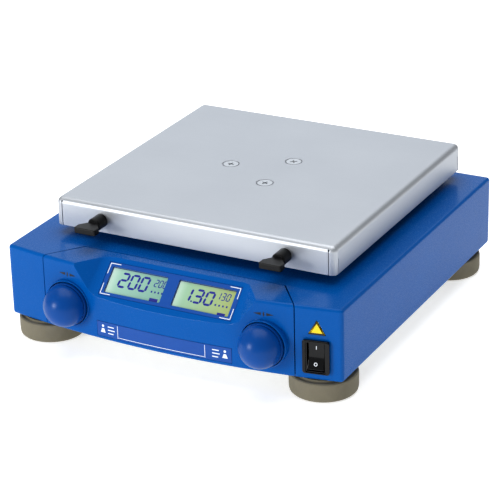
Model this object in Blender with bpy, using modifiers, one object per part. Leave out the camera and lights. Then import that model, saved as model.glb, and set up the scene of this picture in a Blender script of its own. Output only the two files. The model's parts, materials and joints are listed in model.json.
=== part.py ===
"""Benchtop orbital shaker: a flat clamping platform that a belt-driven eccentric moves round a 4 mm circle.

Units are metres, +Z is up and -Y faces the user. z = 0 is the bench, and x = 0, y = 0 is the middle of
the outer box. The eccentric stands at the back of its circle at rest, so the platform's middle is
one throw behind the drive axis.
"""

import math

import bmesh
import bpy
from mathutils import Matrix, Vector

# Case
GAP = 0.0003  # clearance that keeps neighbouring pieces apart
WALL = 0.003
CASE_WIDTH = 0.270
CASE_FRONT = -0.120  # y of the two front corners
CASE_REAR = 0.148
CASE_LOW = 0.0165
CASE_TOP = 0.0717
FRONT_BOW = 0.013  # how far the middle of the front stands ahead of its corners
CASE_ROUNDING = 0.0025
BASE_THICKNESS = 0.002
BOSS_X = 0.1275
BOSS_ROWS = (-0.070, 0.030, 0.128)
BOSS_RADIUS = 0.005
BOSS_BORE = 0.0020
BOSS_BORE_DEPTH = 0.014
BASE_BORE = 0.0023
VENT_SIZE = (0.003, 0.028)
VENT_PLACES = [(0.058 + 0.008 * step, 0.090, 0) for step in range(7)]

# Feet
FOOT_X = 0.1116
FOOT_ROWS = {"front": -0.1021, "rear": 0.1212}
FOOT_RADIUS = 0.02465
FOOT_RIM = 0.0147
FOOT_NECK_RADIUS = 0.021
FOOT_SEAT = 0.006  # underside of the sunk screw head
FOOT_BORE = 0.0030
FOOT_BUSH_RADIUS = 0.0050
FOOT_BUSH_BORE = 0.0028
FOOT_SCREW_RADIUS = 0.0025
FOOT_SCREW_HEAD = (0.0055, 0.0035)  # radius and depth

# Front panel, as seen from above
PANEL_HALF = 0.101
PANEL_FRONT_Y = -0.1257
PANEL_BACK_HALF = 0.081
PANEL_BACK_Y = -0.0998
PANEL_SLIT = 0.0002  # on each side of the joint between panel and shell

# Display pocket in the panel: a sloping floor between two slanted cheeks
POCKET_BOTTOM_Z = 0.0479
POCKET_BACK_Y = -0.107
POCKET_BOTTOM_HALF = 0.057
POCKET_TOP_HALF = 0.074
FOIL_HALF = 0.0535
FOIL_SPAN = (0.0053, 0.0312)  # up the slope from the pocket's bottom edge
WINDOW_SPAN = (0.0078, 0.0281)
WINDOW_X = (0.0046, 0.0501)
WINDOW_MARGIN = 0.0008
FOIL_RECESS = 0.0008
FOIL_THICKNESS = 0.0005
LCD_DEPTH = 0.0011
LCD_THICKNESS = 0.0028
DISPLAY_BOARD_SPAN = (0.004, 0.033)
DISPLAY_BOARD_DEPTHS = (-0.0061, -0.0045)

# Knobs and their rotary encoders
KNOB_X = 0.0791
KNOB_Z = 0.0397
KNOB_CENTRE_Y = -0.1345
KNOB_RADIUS = 0.0157
KNOB_SKIRT_RADIUS = 0.0162
COLLAR_RADIUS = 0.0178
COLLAR_BORE = 0.0168
COLLAR_FRONT_Y = -0.1312
COLLAR_FLOOR_Y = -0.1282
ENCODER_SIZE = 0.0134
ENCODER_FRONT_Y = -0.1242
ENCODER_BACK_Y = -0.1142
ENCODER_BORE = 0.0036
SHAFT_RADIUS = 0.003
SHAFT_SPAN = (0.1195, 0.1432)  # distances ahead of the origin
PLUNGER_RADIUS = 0.0032
PLUNGER_SPAN = (0.1177, 0.1192)

# Label strip under the display
STRIP_HALF = 0.0545
STRIP_LOW = 0.0199
STRIP_HIGH = 0.0313
STRIP_RECESS = 0.0006

# Mains switch, square to the bowed front
SWITCH_X = 0.1166
SWITCH_Z = 0.0350
SWITCH_BEZEL = (0.0196, 0.0254)
SWITCH_BODY = (0.0170, 0.0232)
SWITCH_OPENING = (0.0128, 0.0216)
SWITCH_PROUD = 0.0028
ROCKER_WIDTH = 0.0118
ROCKER_HALF = 0.0098
ROCKER_TILT = math.radians(10)
ROCKER_PIVOT_DEPTH = 0.002

# Mains inlet at the rear
INLET_X = 0.070
INLET_Z = 0.044
INLET_FLANGE = (0.050, 0.0225)
INLET_BODY = (0.0272, 0.0196)
INLET_CAVITY = (0.0240, 0.0164)
INLET_BACK_Y = 0.1502
INLET_CAVITY_DEPTH = 0.0155
INLET_PINS = ((-0.007, 0.0015), (0, -0.0025), (0.007, 0.0015))
INLET_PIN_SLOT = (0.0026, 0.0046)
INLET_SCREW_X = 0.020
INLET_SCREW_BORE = 0.0018
INLET_SCREW_SEAT = 0.0033

# Drive: every shaft is upright
THROW = 0.002  # the eccentric's offset, half the 4 mm circle
PLATFORM_Y = 0.0258
DRIVE_Y = PLATFORM_Y - THROW
MAIN_SHAFT_RADIUS = 0.006
ECCENTRIC_PIN_RADIUS = 0.005
BEARING_RADIUS = 0.0130
BEARING_HEIGHT = 0.007
BEARINGS = {"lower": 0.0200, "upper": 0.0325}  # undersides of the two on the main shaft
HOUSING_TOP = 0.040
FLANGE_TOP = 0.0225
COUNTERWEIGHT_RADIUS = 0.040
MOTOR_X = -0.082
MOTOR_Y = 0.100
MOTOR_RADIUS = 0.027
MOTOR_TOP = 0.0385
MOTOR_WALL = 0.003
ROTOR_RADIUS = 0.0154
MOTOR_SHAFT_RADIUS = 0.003
PULLEY_LOW = 0.0410
PULLEY_HIGH = 0.0495
PULLEY_FLANGE = 0.002
DRIVE_PULLEY_RADIUS = 0.030
MOTOR_PULLEY_RADIUS = 0.010
BELT_LOW = 0.0423
BELT_HIGH = 0.0483
BELT_THICKNESS = 0.0015
GUIDE_CIRCLE = 0.058
GUIDE_ANGLES = (90, 210, 330)
CRANK_RADIUS = 0.004
CRANK_PIN_RADIUS = 0.003
CRANK_WEB_RADIUS = 0.007
GUIDE_BEARING_RADIUS = 0.0075
BEARING_SEAT = 0.0575  # underside of the bearings in the carrier
CARRIER_LOW = 0.057
CARRIER_HIGH = 0.065
CARRIER_RADIUS = 0.036
CARRIER_ARM_HALF = 0.009
CARRIER_EYE_RADIUS = 0.013
HUB_RADIUS = 0.040
HUB_NECK_RADIUS = 0.033
HUB_BORE = 0.021
OPENING_RADIUS = 0.0375

# Circuit boards: two opposite corners of each, seen from above
BOARD_LOW = 0.0270
BOARD_THICKNESS = 0.0016
PILLAR_RADIUS = 0.003
PILLAR_INSET = 0.006
BOARDS = {
    "power_board": ((0.048, 0.060), (0.120, 0.122)),
    "control_board": ((-0.060, -0.112), (0.060, -0.074)),
}
TRANSFORMER = ((0.062, 0.074), (0.104, 0.110))
TRANSFORMER_TOP = 0.0540

# Platform
TRAY_WIDTH = 0.227
TRAY_DEPTH = 0.224
TRAY_LOW = 0.0789
TRAY_TOP = 0.1001
TRAY_SHEET = 0.0015
TRAY_ROUNDING = 0.0045
SCREW_CIRCLE = 0.0275
SCREW_ANGLES = (-60, 60, 180)
SCREW_HEAD_RADIUS = 0.0059
SCREW_RADIUS = 0.0025
SCREW_CLEARANCE = 0.0005
SCREW_SINK = 0.0036  # how far the countersunk cone reaches below the tray's top
LOCK_X = 0.07475
LOCK_Z = 0.0883
LOCK_REACH = 0.0240
LOCK_HALF = 0.0088
LOCK_HUB_RADIUS = 0.0052
LOCK_HUB_LENGTH = 0.0110
LOCK_WAIST = (0.0042, 0.006)  # half width and reach where the paddle leaves the hub
LOCK_SHOULDER = 0.018
LOCK_PADDLE_HALF = 0.0023  # half the paddle's thickness
CAM_RADIUS = 0.0028
CAM_BAR = (0.0130, 0.0070)
CAM_BAR_DEPTHS = (-0.0055, -0.0022)

# Worked out from the above
CASE_HALF = CASE_WIDTH / 2
FRONT_RADIUS = (CASE_HALF**2 + FRONT_BOW**2) / (2 * FRONT_BOW)
BASE_LOW = CASE_LOW + GAP
BASE_TOP = BASE_LOW + BASE_THICKNESS
FLOOR = BASE_TOP + GAP
POCKET_RISE = CASE_TOP - POCKET_BOTTOM_Z
POCKET_FRONT_Y = CASE_FRONT - FRONT_BOW
POCKET_RUN = POCKET_BACK_Y - POCKET_FRONT_Y
DISPLAY_TILT = math.atan2(POCKET_RISE, POCKET_RUN)
SWITCH_TURN = math.asin(SWITCH_X / FRONT_RADIUS)
TRAY_FRONT = PLATFORM_Y - TRAY_DEPTH / 2
FACING_USER = (math.pi / 2, 0, 0)  # turns a piece's local +Z to -Y
FACING_REAR = (-math.pi / 2, 0, 0)


def front_y(x, inset=0.0):
    """The y of the bowed front at x, or of a surface that lies inset behind it."""
    radius = FRONT_RADIUS - inset
    return CASE_FRONT - FRONT_BOW + FRONT_RADIUS - math.sqrt(radius**2 - x**2)


def clear_scene():
    for obj in list(bpy.data.objects):
        bpy.data.objects.remove(obj)


def new_collection(name):
    collection = bpy.data.collections.new(name)
    bpy.context.scene.collection.children.link(collection)
    return collection


def new_material(name, hex_colour, roughness, metallic=0.0):
    material = bpy.data.materials.new(name)
    material.use_nodes = True
    shader = material.node_tree.nodes["Principled BSDF"]
    channels = [int(hex_colour[i : i + 2], 16) / 255 for i in (0, 2, 4)]
    linear = [c / 12.92 if c <= 0.04045 else ((c + 0.055) / 1.055) ** 2.4 for c in channels]
    shader.inputs["Base Color"].default_value = (*linear, 1.0)
    shader.inputs["Roughness"].default_value = roughness
    shader.inputs["Metallic"].default_value = metallic
    return material


clear_scene()
PARTS = new_collection("orbital_shaker")
CUTTERS = new_collection("cutters")
HOUSING_BLUE = new_material("housing_blue", "0E61AE", 0.42)
KNOB_BLUE = new_material("knob_blue", "1C4EA0", 0.38)
FOIL_BLUE = new_material("foil_blue", "3A5CB8", 0.45)
LCD_GREEN = new_material("lcd_green", "AED2A8", 0.25)
FOOT_RUBBER = new_material("foot_rubber", "89826F", 0.8)
BLACK_PLASTIC = new_material("black_plastic", "141517", 0.3)
TRAY_METAL = new_material("tray_metal", "C9D0D8", 0.35, 1.0)
STEEL = new_material("steel", "B4B8BC", 0.3, 1.0)
CAST_METAL = new_material("cast_metal", "9DA1A5", 0.5, 1.0)
BELT_RUBBER = new_material("belt_rubber", "1B1B1C", 0.75)
BOARD_GREEN = new_material("board_green", "1E5B3A", 0.5)


def add_object(name, mesh, material=None, at=(0, 0, 0), turn=(0, 0, 0)):
    """A part of the model, or a cutter where no material is given."""
    obj = bpy.data.objects.new(name, mesh)
    obj.location = at
    obj.rotation_euler = turn
    if material:
        mesh.materials.append(material)
        PARTS.objects.link(obj)
    else:
        obj.hide_render = True
        obj.display_type = "WIRE"
        CUTTERS.objects.link(obj)
    return obj


def mesh_from(bm, name):
    bmesh.ops.recalc_face_normals(bm, faces=bm.faces)
    mesh = bpy.data.meshes.new(name)
    bm.to_mesh(mesh)
    bm.free()
    return mesh


def block_bmesh(low, high):
    bm = bmesh.new()
    low, high = Vector(low), Vector(high)
    scale = Matrix.Diagonal((*(high - low), 1))
    bmesh.ops.create_cube(bm, size=1, matrix=Matrix.Translation((low + high) / 2) @ scale)
    return bm


def block(name, low, high, material=None, at=(0, 0, 0), turn=(0, 0, 0)):
    return add_object(name, mesh_from(block_bmesh(low, high), name), material, at, turn)


def plate(name, middle, size, depths, material=None, at=(0, 0, 0), turn=(0, 0, 0)):
    """A block by the middle and size of its face in local X and Y, between two local depths."""
    low = (middle[0] - size[0] / 2, middle[1] - size[1] / 2, depths[0])
    high = (middle[0] + size[0] / 2, middle[1] + size[1] / 2, depths[1])
    return block(name, low, high, material, at, turn)


def prism(name, outline, low, high, material=None, at=(0, 0, 0), turn=(0, 0, 0)):
    """An outline in local X and Y, extruded from low to high along local Z."""
    bm = bmesh.new()
    face = bm.faces.new([bm.verts.new((x, y, low)) for x, y in outline])
    swept = bmesh.ops.extrude_face_region(bm, geom=[face])["geom"]
    tops = [item for item in swept if isinstance(item, bmesh.types.BMVert)]
    bmesh.ops.translate(bm, vec=(0, 0, high - low), verts=tops)
    return add_object(name, mesh_from(bm, name), material, at, turn)


def turned(name, profile, material=None, at=(0, 0, 0), turn=(0, 0, 0), steps=24, ring=False):
    """A profile of (radius, height) points, down the outer side, spun round local Z."""
    bm = bmesh.new()
    verts = [bm.verts.new((radius, 0, height)) for radius, height in profile]
    ends = verts[1:] + verts[:1] if ring else verts[1:]
    for start, end in zip(verts, ends):
        bm.edges.new((start, end))
    mesh = bpy.data.meshes.new(name)
    bm.to_mesh(mesh)
    bm.free()
    obj = add_object(name, mesh, material, at, turn)
    screw = obj.modifiers.new("spin", "SCREW")
    screw.steps = screw.render_steps = steps
    screw.use_merge_vertices = True
    screw.merge_threshold = 0.000001
    return obj


def ring(name, inner, outer, low, high, material=None, at=(0, 0, 0), turn=(0, 0, 0), steps=24):
    profile = [(outer, high), (outer, low), (inner, low), (inner, high)]
    return turned(name, profile, material, at, turn, steps, ring=True)


def rod(name, radius, low, high, material=None, at=(0, 0, 0), turn=(0, 0, 0), steps=24):
    profile = [(0, high), (radius, high), (radius, low), (0, low)]
    return turned(name, profile, material, at, turn, steps)


def boolean(target, other, operation="DIFFERENCE"):
    modifier = target.modifiers.new(other.name, "BOOLEAN")
    modifier.operation = operation
    modifier.object = other


def evaluated_mesh(obj):
    graph = bpy.context.evaluated_depsgraph_get()
    return bpy.data.meshes.new_from_object(obj.evaluated_get(graph))


def repeated(pattern, places):
    """Turns one cutter or boss into a group of separate copies of it, moved by each of the places."""
    bpy.context.view_layer.update()
    mesh = evaluated_mesh(pattern)
    bm = bmesh.new()
    for place in places:
        known = len(bm.verts)
        bm.from_mesh(mesh)
        bm.verts.ensure_lookup_table()
        bmesh.ops.translate(bm, vec=place, verts=bm.verts[known:])
    bm.to_mesh(mesh)
    bm.free()
    pattern.modifiers.clear()
    pattern.data = mesh
    return pattern


def bevel_edges(obj, width, segments, angle=30):
    bevel = obj.modifiers.new("rounding", "BEVEL")
    bevel.width = width
    bevel.segments = segments
    bevel.limit_method = "ANGLE"
    bevel.angle_limit = math.radians(angle)


def around(angle, radius, centre_y):
    """A point on a circle about the drive's or the platform's middle line."""
    turn = math.radians(angle)
    return (radius * math.cos(turn), centre_y + radius * math.sin(turn), 0)


def case_outline(inset, segments=24):
    """The case seen from above: a bowed front, straight sides and a straight rear."""
    half = CASE_HALF - inset
    xs = [-half + 2 * half * step / segments for step in range(segments + 1)]
    front = [(x, front_y(x, inset)) for x in xs]
    return front + [(half, CASE_REAR - inset), (-half, CASE_REAR - inset)]


def case_blank(name, material=None):
    blank = prism(name, case_outline(0), CASE_LOW, CASE_TOP, material)
    bevel_edges(blank, CASE_ROUNDING, 3)
    return blank


def case_hollow(name):
    return prism(name, case_outline(WALL), CASE_LOW - WALL, CASE_TOP - WALL)


def panel_region(name, spread):
    """The upright block that divides the panel from the shell, grown by spread."""
    ahead = CASE_FRONT - 2 * FRONT_BOW
    half = PANEL_HALF + spread
    back_half = PANEL_BACK_HALF + spread
    outline = [(-half, ahead), (half, ahead), (half, PANEL_FRONT_Y), (back_half, PANEL_BACK_Y + spread)]
    outline += [(-back_half, PANEL_BACK_Y + spread), (-half, PANEL_FRONT_Y)]
    return prism(name, outline, CASE_LOW - WALL, CASE_TOP + WALL)


def pocket_region(name, spread):
    """The space of the display pocket, its floor and cheeks moved out by spread."""
    corner = Vector((POCKET_TOP_HALF, front_y(POCKET_TOP_HALF), CASE_TOP))
    foot = Vector((POCKET_BOTTOM_HALF, front_y(POCKET_BOTTOM_HALF), POCKET_BOTTOM_Z))
    back = Vector((POCKET_BOTTOM_HALF, POCKET_BACK_Y, CASE_TOP))
    cheek = (back - corner).cross(foot - corner).normalized()
    if cheek.x < 0:
        cheek = -cheek
    floor = Vector((0, math.sin(DISPLAY_TILT), -math.cos(DISPLAY_TILT)))
    mirrored = Vector((-cheek.x, cheek.y, cheek.z))
    start = Vector((0, POCKET_FRONT_Y, POCKET_BOTTOM_Z))
    left_corner = Vector((-corner.x, corner.y, corner.z))
    bm = block_bmesh((-0.1, -0.15, 0.03), (0.1, -0.09, 0.09))  # reaches past the pocket on every side
    for point, normal in ((start, floor), (corner, cheek), (left_corner, mirrored)):
        everything = bm.verts[:] + bm.edges[:] + bm.faces[:]
        cut = bmesh.ops.bisect_plane(
            bm, geom=everything, plane_co=point + normal * spread, plane_no=normal, clear_outer=True
        )
        edges = [item for item in cut["geom_cut"] if isinstance(item, bmesh.types.BMEdge)]
        bmesh.ops.holes_fill(bm, edges=edges)
    return add_object(name, mesh_from(bm, name))


def display_place():
    """Where the pocket floor's own frame stands: X across, Y up the slope, Z out of it."""
    return {"at": (0, POCKET_FRONT_Y, POCKET_BOTTOM_Z), "turn": (DISPLAY_TILT, 0, 0)}


def window_block(name, side, grow, depths, material=None):
    """A block over one display window, grown by grow, between two depths out of the floor."""
    middle = (side * sum(WINDOW_X) / 2, sum(WINDOW_SPAN) / 2)
    size = (WINDOW_X[1] - WINDOW_X[0] + 2 * grow, WINDOW_SPAN[1] - WINDOW_SPAN[0] + 2 * grow)
    return plate(name, middle, size, depths, material, **display_place())


def foil_block(name, grow, depths, material=None):
    size = (2 * (FOIL_HALF + grow), FOIL_SPAN[1] - FOIL_SPAN[0] + 2 * grow)
    return plate(name, (0, sum(FOIL_SPAN) / 2), size, depths, material, **display_place())


def bowed_slab(name, half, low, high, proud, deep, material=None):
    """A slab that follows the bowed front, from proud ahead of it to deep behind it."""
    segments = 12
    xs = [-half + 2 * half * step / segments for step in range(segments + 1)]
    outer = [(x, front_y(x, -proud)) for x in xs]
    inner = [(x, front_y(x, deep)) for x in reversed(xs)]
    return prism(name, outer + inner, low, high, material)


def make_housing_shell():
    shell = case_blank("housing_shell", HOUSING_BLUE)
    boolean(shell, case_hollow("shell_hollow"))
    bosses = rod("shell_bosses", BOSS_RADIUS, FLOOR, CASE_TOP - WALL / 2, steps=16)
    boolean(shell, repeated(bosses, boss_places()), "UNION")
    lip = ring("spill_lip", OPENING_RADIUS - WALL, OPENING_RADIUS + WALL, CASE_TOP - WALL / 2,
               CASE_TOP + WALL, at=(0, DRIVE_Y, 0))
    boolean(shell, lip, "UNION")
    opening = rod("hub_opening", OPENING_RADIUS, CASE_TOP - 2 * WALL, CASE_TOP + 2 * WALL,
                  at=(0, DRIVE_Y, 0))
    boolean(shell, opening)
    boss_holes = rod("boss_holes", BOSS_BORE, BASE_LOW, BASE_LOW + BOSS_BORE_DEPTH, steps=12)
    boolean(shell, repeated(boss_holes, boss_places()))
    boolean(shell, panel_region("panel_cutter", PANEL_SLIT))
    boolean(shell, switch_block("switch_hole", SWITCH_BODY, GAP, (-0.01, 0.02)))
    inlet_hole = plate("inlet_hole", (0, 0), [s + 2 * GAP for s in INLET_BODY], (-0.01, 0.01),
                       at=(INLET_X, CASE_REAR, INLET_Z), turn=FACING_REAR)
    boolean(shell, inlet_hole)
    screw_holes = rod("inlet_screw_holes", INLET_SCREW_BORE, -0.006, 0.004, turn=FACING_REAR, steps=12,
                      at=(INLET_X, CASE_REAR, INLET_Z))
    repeated(screw_holes, [(side * INLET_SCREW_X, 0, 0) for side in (-1, 1)])
    boolean(shell, screw_holes)


def make_front_panel():
    panel = case_blank("front_panel", HOUSING_BLUE)
    boolean(panel, panel_region("panel_keep", -PANEL_SLIT), "INTERSECT")
    hollow = case_hollow("panel_hollow")
    boolean(hollow, pocket_region("pocket_backing", WALL))
    boolean(panel, hollow)
    boolean(panel, pocket_region("display_pocket", 0))
    boolean(panel, foil_block("foil_recess", GAP, (-FOIL_RECESS, 0.002)))
    for side, word in ((-1, "left"), (1, "right")):
        boolean(panel, window_block(word + "_window", side, WINDOW_MARGIN, (-0.006, 0.002)))
        place = knob_axis(side)
        collar_back = -front_y(KNOB_X) - WALL / 2
        collar = rod(word + "_collar", COLLAR_RADIUS, collar_back, -COLLAR_FRONT_Y, **place, steps=32)
        boolean(panel, collar, "UNION")
        recess = rod(word + "_collar_bore", COLLAR_BORE, -COLLAR_FLOOR_Y, 0.14, **place, steps=32)
        boolean(panel, recess)
        shaft_hole = rod(word + "_shaft_hole", SHAFT_RADIUS + 0.0008, 0.12, 0.14, **place, steps=16)
        boolean(panel, shaft_hole)
    low, high = STRIP_LOW - GAP, STRIP_HIGH + GAP
    boolean(panel, bowed_slab("strip_recess", STRIP_HALF + GAP, low, high, 0.002, STRIP_RECESS))


def make_base():
    inset = WALL + GAP
    base = prism("base_plate", case_outline(inset), BASE_LOW, BASE_TOP, STEEL)
    middle = BASE_TOP - BASE_THICKNESS / 2
    bushes = rod("foot_bushes", FOOT_BUSH_RADIUS, middle, BASE_TOP + 0.003, steps=12)
    boolean(base, repeated(bushes, foot_places()), "UNION")
    pillars = rod("board_pillars", PILLAR_RADIUS, middle, BOARD_LOW - GAP, steps=8)
    boolean(base, repeated(pillars, pillar_places()), "UNION")
    holes = rod("base_holes", BASE_BORE, 0.01, 0.03, steps=8)
    boolean(base, repeated(holes, boss_places()))
    foot_holes = rod("foot_holes", FOOT_BUSH_BORE, 0.01, 0.03, steps=12)
    boolean(base, repeated(foot_holes, foot_places()))
    vents = plate("vent_slots", (0, 0), VENT_SIZE, (0.01, 0.03))
    boolean(base, repeated(vents, VENT_PLACES))


def foot_places():
    return [(side * FOOT_X, y, 0) for y in FOOT_ROWS.values() for side in (-1, 1)]


def boss_places():
    return [(side * BOSS_X, y, 0) for side in (-1, 1) for y in BOSS_ROWS]


def pillar_places():
    return [(x, y, 0) for low, high in BOARDS.values()
            for x in (low[0] + PILLAR_INSET, high[0] - PILLAR_INSET)
            for y in (low[1] + PILLAR_INSET, high[1] - PILLAR_INSET)]


def make_feet():
    top = CASE_LOW - GAP
    well = FOOT_SCREW_HEAD[0] + 0.001
    profile = [(FOOT_NECK_RADIUS, top), (FOOT_NECK_RADIUS, FOOT_RIM), (FOOT_RADIUS, FOOT_RIM)]
    profile += [(FOOT_RADIUS, 0.003), (FOOT_RADIUS - 0.0009, 0.0009), (FOOT_RADIUS - 0.003, 0)]
    profile += [(well, 0), (well, FOOT_SEAT), (FOOT_BORE, FOOT_SEAT), (FOOT_BORE, top)]
    tip = BASE_TOP + 0.0035
    head, depth = FOOT_SCREW_HEAD
    under = FOOT_SEAT - GAP
    screw = [(0, tip), (FOOT_SCREW_RADIUS, tip), (FOOT_SCREW_RADIUS, under), (head, under)]
    screw += [(head, FOOT_SEAT - depth), (0, FOOT_SEAT - depth)]
    for row, y in FOOT_ROWS.items():
        for side, word in ((-1, "left"), (1, "right")):
            turned(f"foot_{row}_{word}", profile, FOOT_RUBBER, at=(side * FOOT_X, y, 0), ring=True)
            turned(f"foot_screw_{row}_{word}", screw, STEEL, at=(side * FOOT_X, y, 0), steps=12)


def make_display():
    foil = foil_block("display_foil", 0, (-FOIL_THICKNESS, 0), FOIL_BLUE)
    for side, word in ((-1, "left"), (1, "right")):
        boolean(foil, window_block(word + "_foil_window", side, 0, (-0.002, 0.002)))
        window_block("lcd_" + word, side, 0.0004, (-LCD_DEPTH - LCD_THICKNESS, -LCD_DEPTH), LCD_GREEN)
    low, high = DISPLAY_BOARD_SPAN
    plate("display_board", (0, (low + high) / 2), (2 * FOIL_HALF + 0.001, high - low),
          DISPLAY_BOARD_DEPTHS, BOARD_GREEN, **display_place())
    bowed_slab("label_strip", STRIP_HALF, STRIP_LOW, STRIP_HIGH, 0.0001, GAP, FOIL_BLUE)


def knob_axis(side):
    """A knob's own frame: Z runs out to the user along its axis, from below the origin."""
    return {"at": (side * KNOB_X, 0, KNOB_Z), "turn": FACING_USER}


def knob_profile():
    """A dome on a narrow groove and a skirt, with a blind bore for the shaft."""
    dome = [math.radians(90 - 90 * step / 6) for step in range(7)]
    profile = [(KNOB_RADIUS * math.cos(angle), KNOB_RADIUS * math.sin(angle)) for angle in dome]
    profile[0] = (0, KNOB_RADIUS)
    groove = KNOB_RADIUS - 0.0006
    profile += [(groove, -0.0004), (groove, -0.0010), (KNOB_SKIRT_RADIUS, -0.0013)]
    profile += [(KNOB_SKIRT_RADIUS, -0.0040), (SHAFT_RADIUS + GAP, -0.0040)]
    return profile + [(SHAFT_RADIUS + GAP, 0.0090), (0, 0.0090)]


def make_knobs():
    half = ENCODER_SIZE / 2
    for side, word in ((-1, "left"), (1, "right")):
        place = knob_axis(side)
        turned("knob_" + word, knob_profile(), KNOB_BLUE, at=(side * KNOB_X, KNOB_CENTRE_Y, KNOB_Z),
               turn=FACING_USER, steps=28)
        rod("encoder_shaft_" + word, SHAFT_RADIUS, *SHAFT_SPAN, STEEL, **place, steps=16)
        rod("encoder_plunger_" + word, PLUNGER_RADIUS, *PLUNGER_SPAN, BLACK_PLASTIC, **place, steps=16)
        encoder = block("encoder_" + word, (-half, -half, -ENCODER_BACK_Y), (half, half, -ENCODER_FRONT_Y),
                        BLACK_PLASTIC, **place)
        boolean(encoder, rod(word + "_encoder_bore", ENCODER_BORE, 0.1160, 0.13, **place, steps=16))


def switch_place():
    """The switch's own frame: X across, Y up, Z out of the bowed front."""
    turn = Matrix.Rotation(SWITCH_TURN, 4, "Z") @ Matrix.Rotation(math.pi / 2, 4, "X")
    return {"at": (SWITCH_X, front_y(SWITCH_X), SWITCH_Z), "turn": turn.to_euler()}


def switch_block(name, size, grow, depths, material=None):
    return plate(name, (0, 0), [s + 2 * grow for s in size], depths, material, **switch_place())


def make_switch():
    body = switch_block("switch_body", SWITCH_BEZEL, 0, (GAP, SWITCH_PROUD), BLACK_PLASTIC)
    bevel_edges(body, 0.0012, 2)
    boolean(body, switch_block("switch_barrel", SWITCH_BODY, 0, (-0.020, 0.0015)), "UNION")
    boolean(body, switch_block("switch_opening", SWITCH_OPENING, 0, (-0.012, 0.01)))
    dip = 0.0003  # the middle of the rocker's face, above its own zero
    crest = dip + math.tan(ROCKER_TILT) * ROCKER_HALF
    outline = [(0, dip), (ROCKER_HALF, crest), (0.0085, -0.0035), (0.003, -0.0055)]
    outline += [(-x, y) for x, y in reversed(outline[1:])]
    place = switch_place()
    across = Matrix.Rotation(math.pi / 2, 4, "Z") @ Matrix.Rotation(math.pi / 2, 4, "X")
    frame = Matrix.Translation(place["at"]) @ place["turn"].to_matrix().to_4x4()
    pivot = Matrix.Translation((0, 0, -ROCKER_PIVOT_DEPTH))
    rest = pivot @ Matrix.Rotation(-ROCKER_TILT, 4, "X") @ pivot.inverted()
    rocker = prism("switch_rocker", outline, -ROCKER_WIDTH / 2, ROCKER_WIDTH / 2, BLACK_PLASTIC)
    rocker.matrix_world = frame @ rest @ across


def make_inlet():
    place = {"at": (INLET_X, CASE_REAR, INLET_Z), "turn": FACING_REAR}
    proud = INLET_BACK_Y - CASE_REAR
    inlet = plate("mains_inlet", (0, 0), INLET_FLANGE, (GAP, proud), BLACK_PLASTIC, **place)
    boolean(inlet, plate("inlet_barrel", (0, 0), INLET_BODY, (-0.020, proud / 2), **place), "UNION")
    boolean(inlet, plate("inlet_cavity", (0, 0), INLET_CAVITY, (-INLET_CAVITY_DEPTH, 0.01), **place))
    slots = plate("pin_slots", (0, 0), INLET_PIN_SLOT, (-0.03, -0.01), **place)
    boolean(inlet, repeated(slots, [(x, y, 0) for x, y in INLET_PINS]))
    seat = 0.0009
    profile = [(0, 0.01), (INLET_SCREW_SEAT, 0.01), (INLET_SCREW_SEAT, seat), (INLET_SCREW_BORE, seat)]
    profile += [(INLET_SCREW_BORE, -0.01), (0, -0.01)]
    seats = turned("inlet_screw_seats", profile, steps=12, **place)
    boolean(inlet, repeated(seats, [(side * INLET_SCREW_X, 0, 0) for side in (-1, 1)]))


def pulley_profile(rim, bore):
    """A flat belt's pulley: a rim between two flanges, with a bore for its shaft."""
    flange = rim + PULLEY_FLANGE
    low, high = BELT_LOW - GAP, BELT_HIGH + GAP
    profile = [(flange, PULLEY_HIGH), (flange, high), (rim, high), (rim, low), (flange, low)]
    return profile + [(flange, PULLEY_LOW), (bore, PULLEY_LOW), (bore, PULLEY_HIGH)]


def make_main_shaft():
    place = {"at": (0, DRIVE_Y, 0)}
    bore = MAIN_SHAFT_RADIUS + GAP
    seat = BEARING_RADIUS + GAP
    housing = [(0.017, HOUSING_TOP), (0.017, FLANGE_TOP), (0.026, FLANGE_TOP), (0.026, FLOOR)]
    housing += [(seat, FLOOR), (seat, HOUSING_TOP)]
    turned("main_bearing_housing", housing, CAST_METAL, ring=True, **place)
    for word, low in BEARINGS.items():
        ring("main_bearing_" + word, bore, BEARING_RADIUS, low, low + BEARING_HEIGHT, STEEL, **place)
    shaft = rod("eccentric_shaft", MAIN_SHAFT_RADIUS, 0.0196, 0.0550, STEEL, **place)
    boolean(shaft, rod("shaft_cheek", 0.0080, 0.0545, 0.0562, **place), "UNION")
    pin = rod("eccentric_pin", ECCENTRIC_PIN_RADIUS, 0.0555, 0.0645, at=(0, PLATFORM_Y, 0))
    boolean(shaft, pin, "UNION")
    pulley = pulley_profile(DRIVE_PULLEY_RADIUS, bore)
    turned("drive_pulley", pulley, CAST_METAL, ring=True, steps=28, **place)
    weight = ring("counterweight", bore, COUNTERWEIGHT_RADIUS, 0.0500, 0.0542, STEEL, **place)
    half_plane = block("counterweight_trim", (-0.05, DRIVE_Y + 0.009, 0.045), (0.05, DRIVE_Y + 0.06, 0.060))
    boolean(weight, half_plane)
    ring("eccentric_bearing", ECCENTRIC_PIN_RADIUS + GAP, BEARING_RADIUS, BEARING_SEAT,
         BEARING_SEAT + BEARING_HEIGHT, STEEL, at=(0, PLATFORM_Y, 0))


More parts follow.
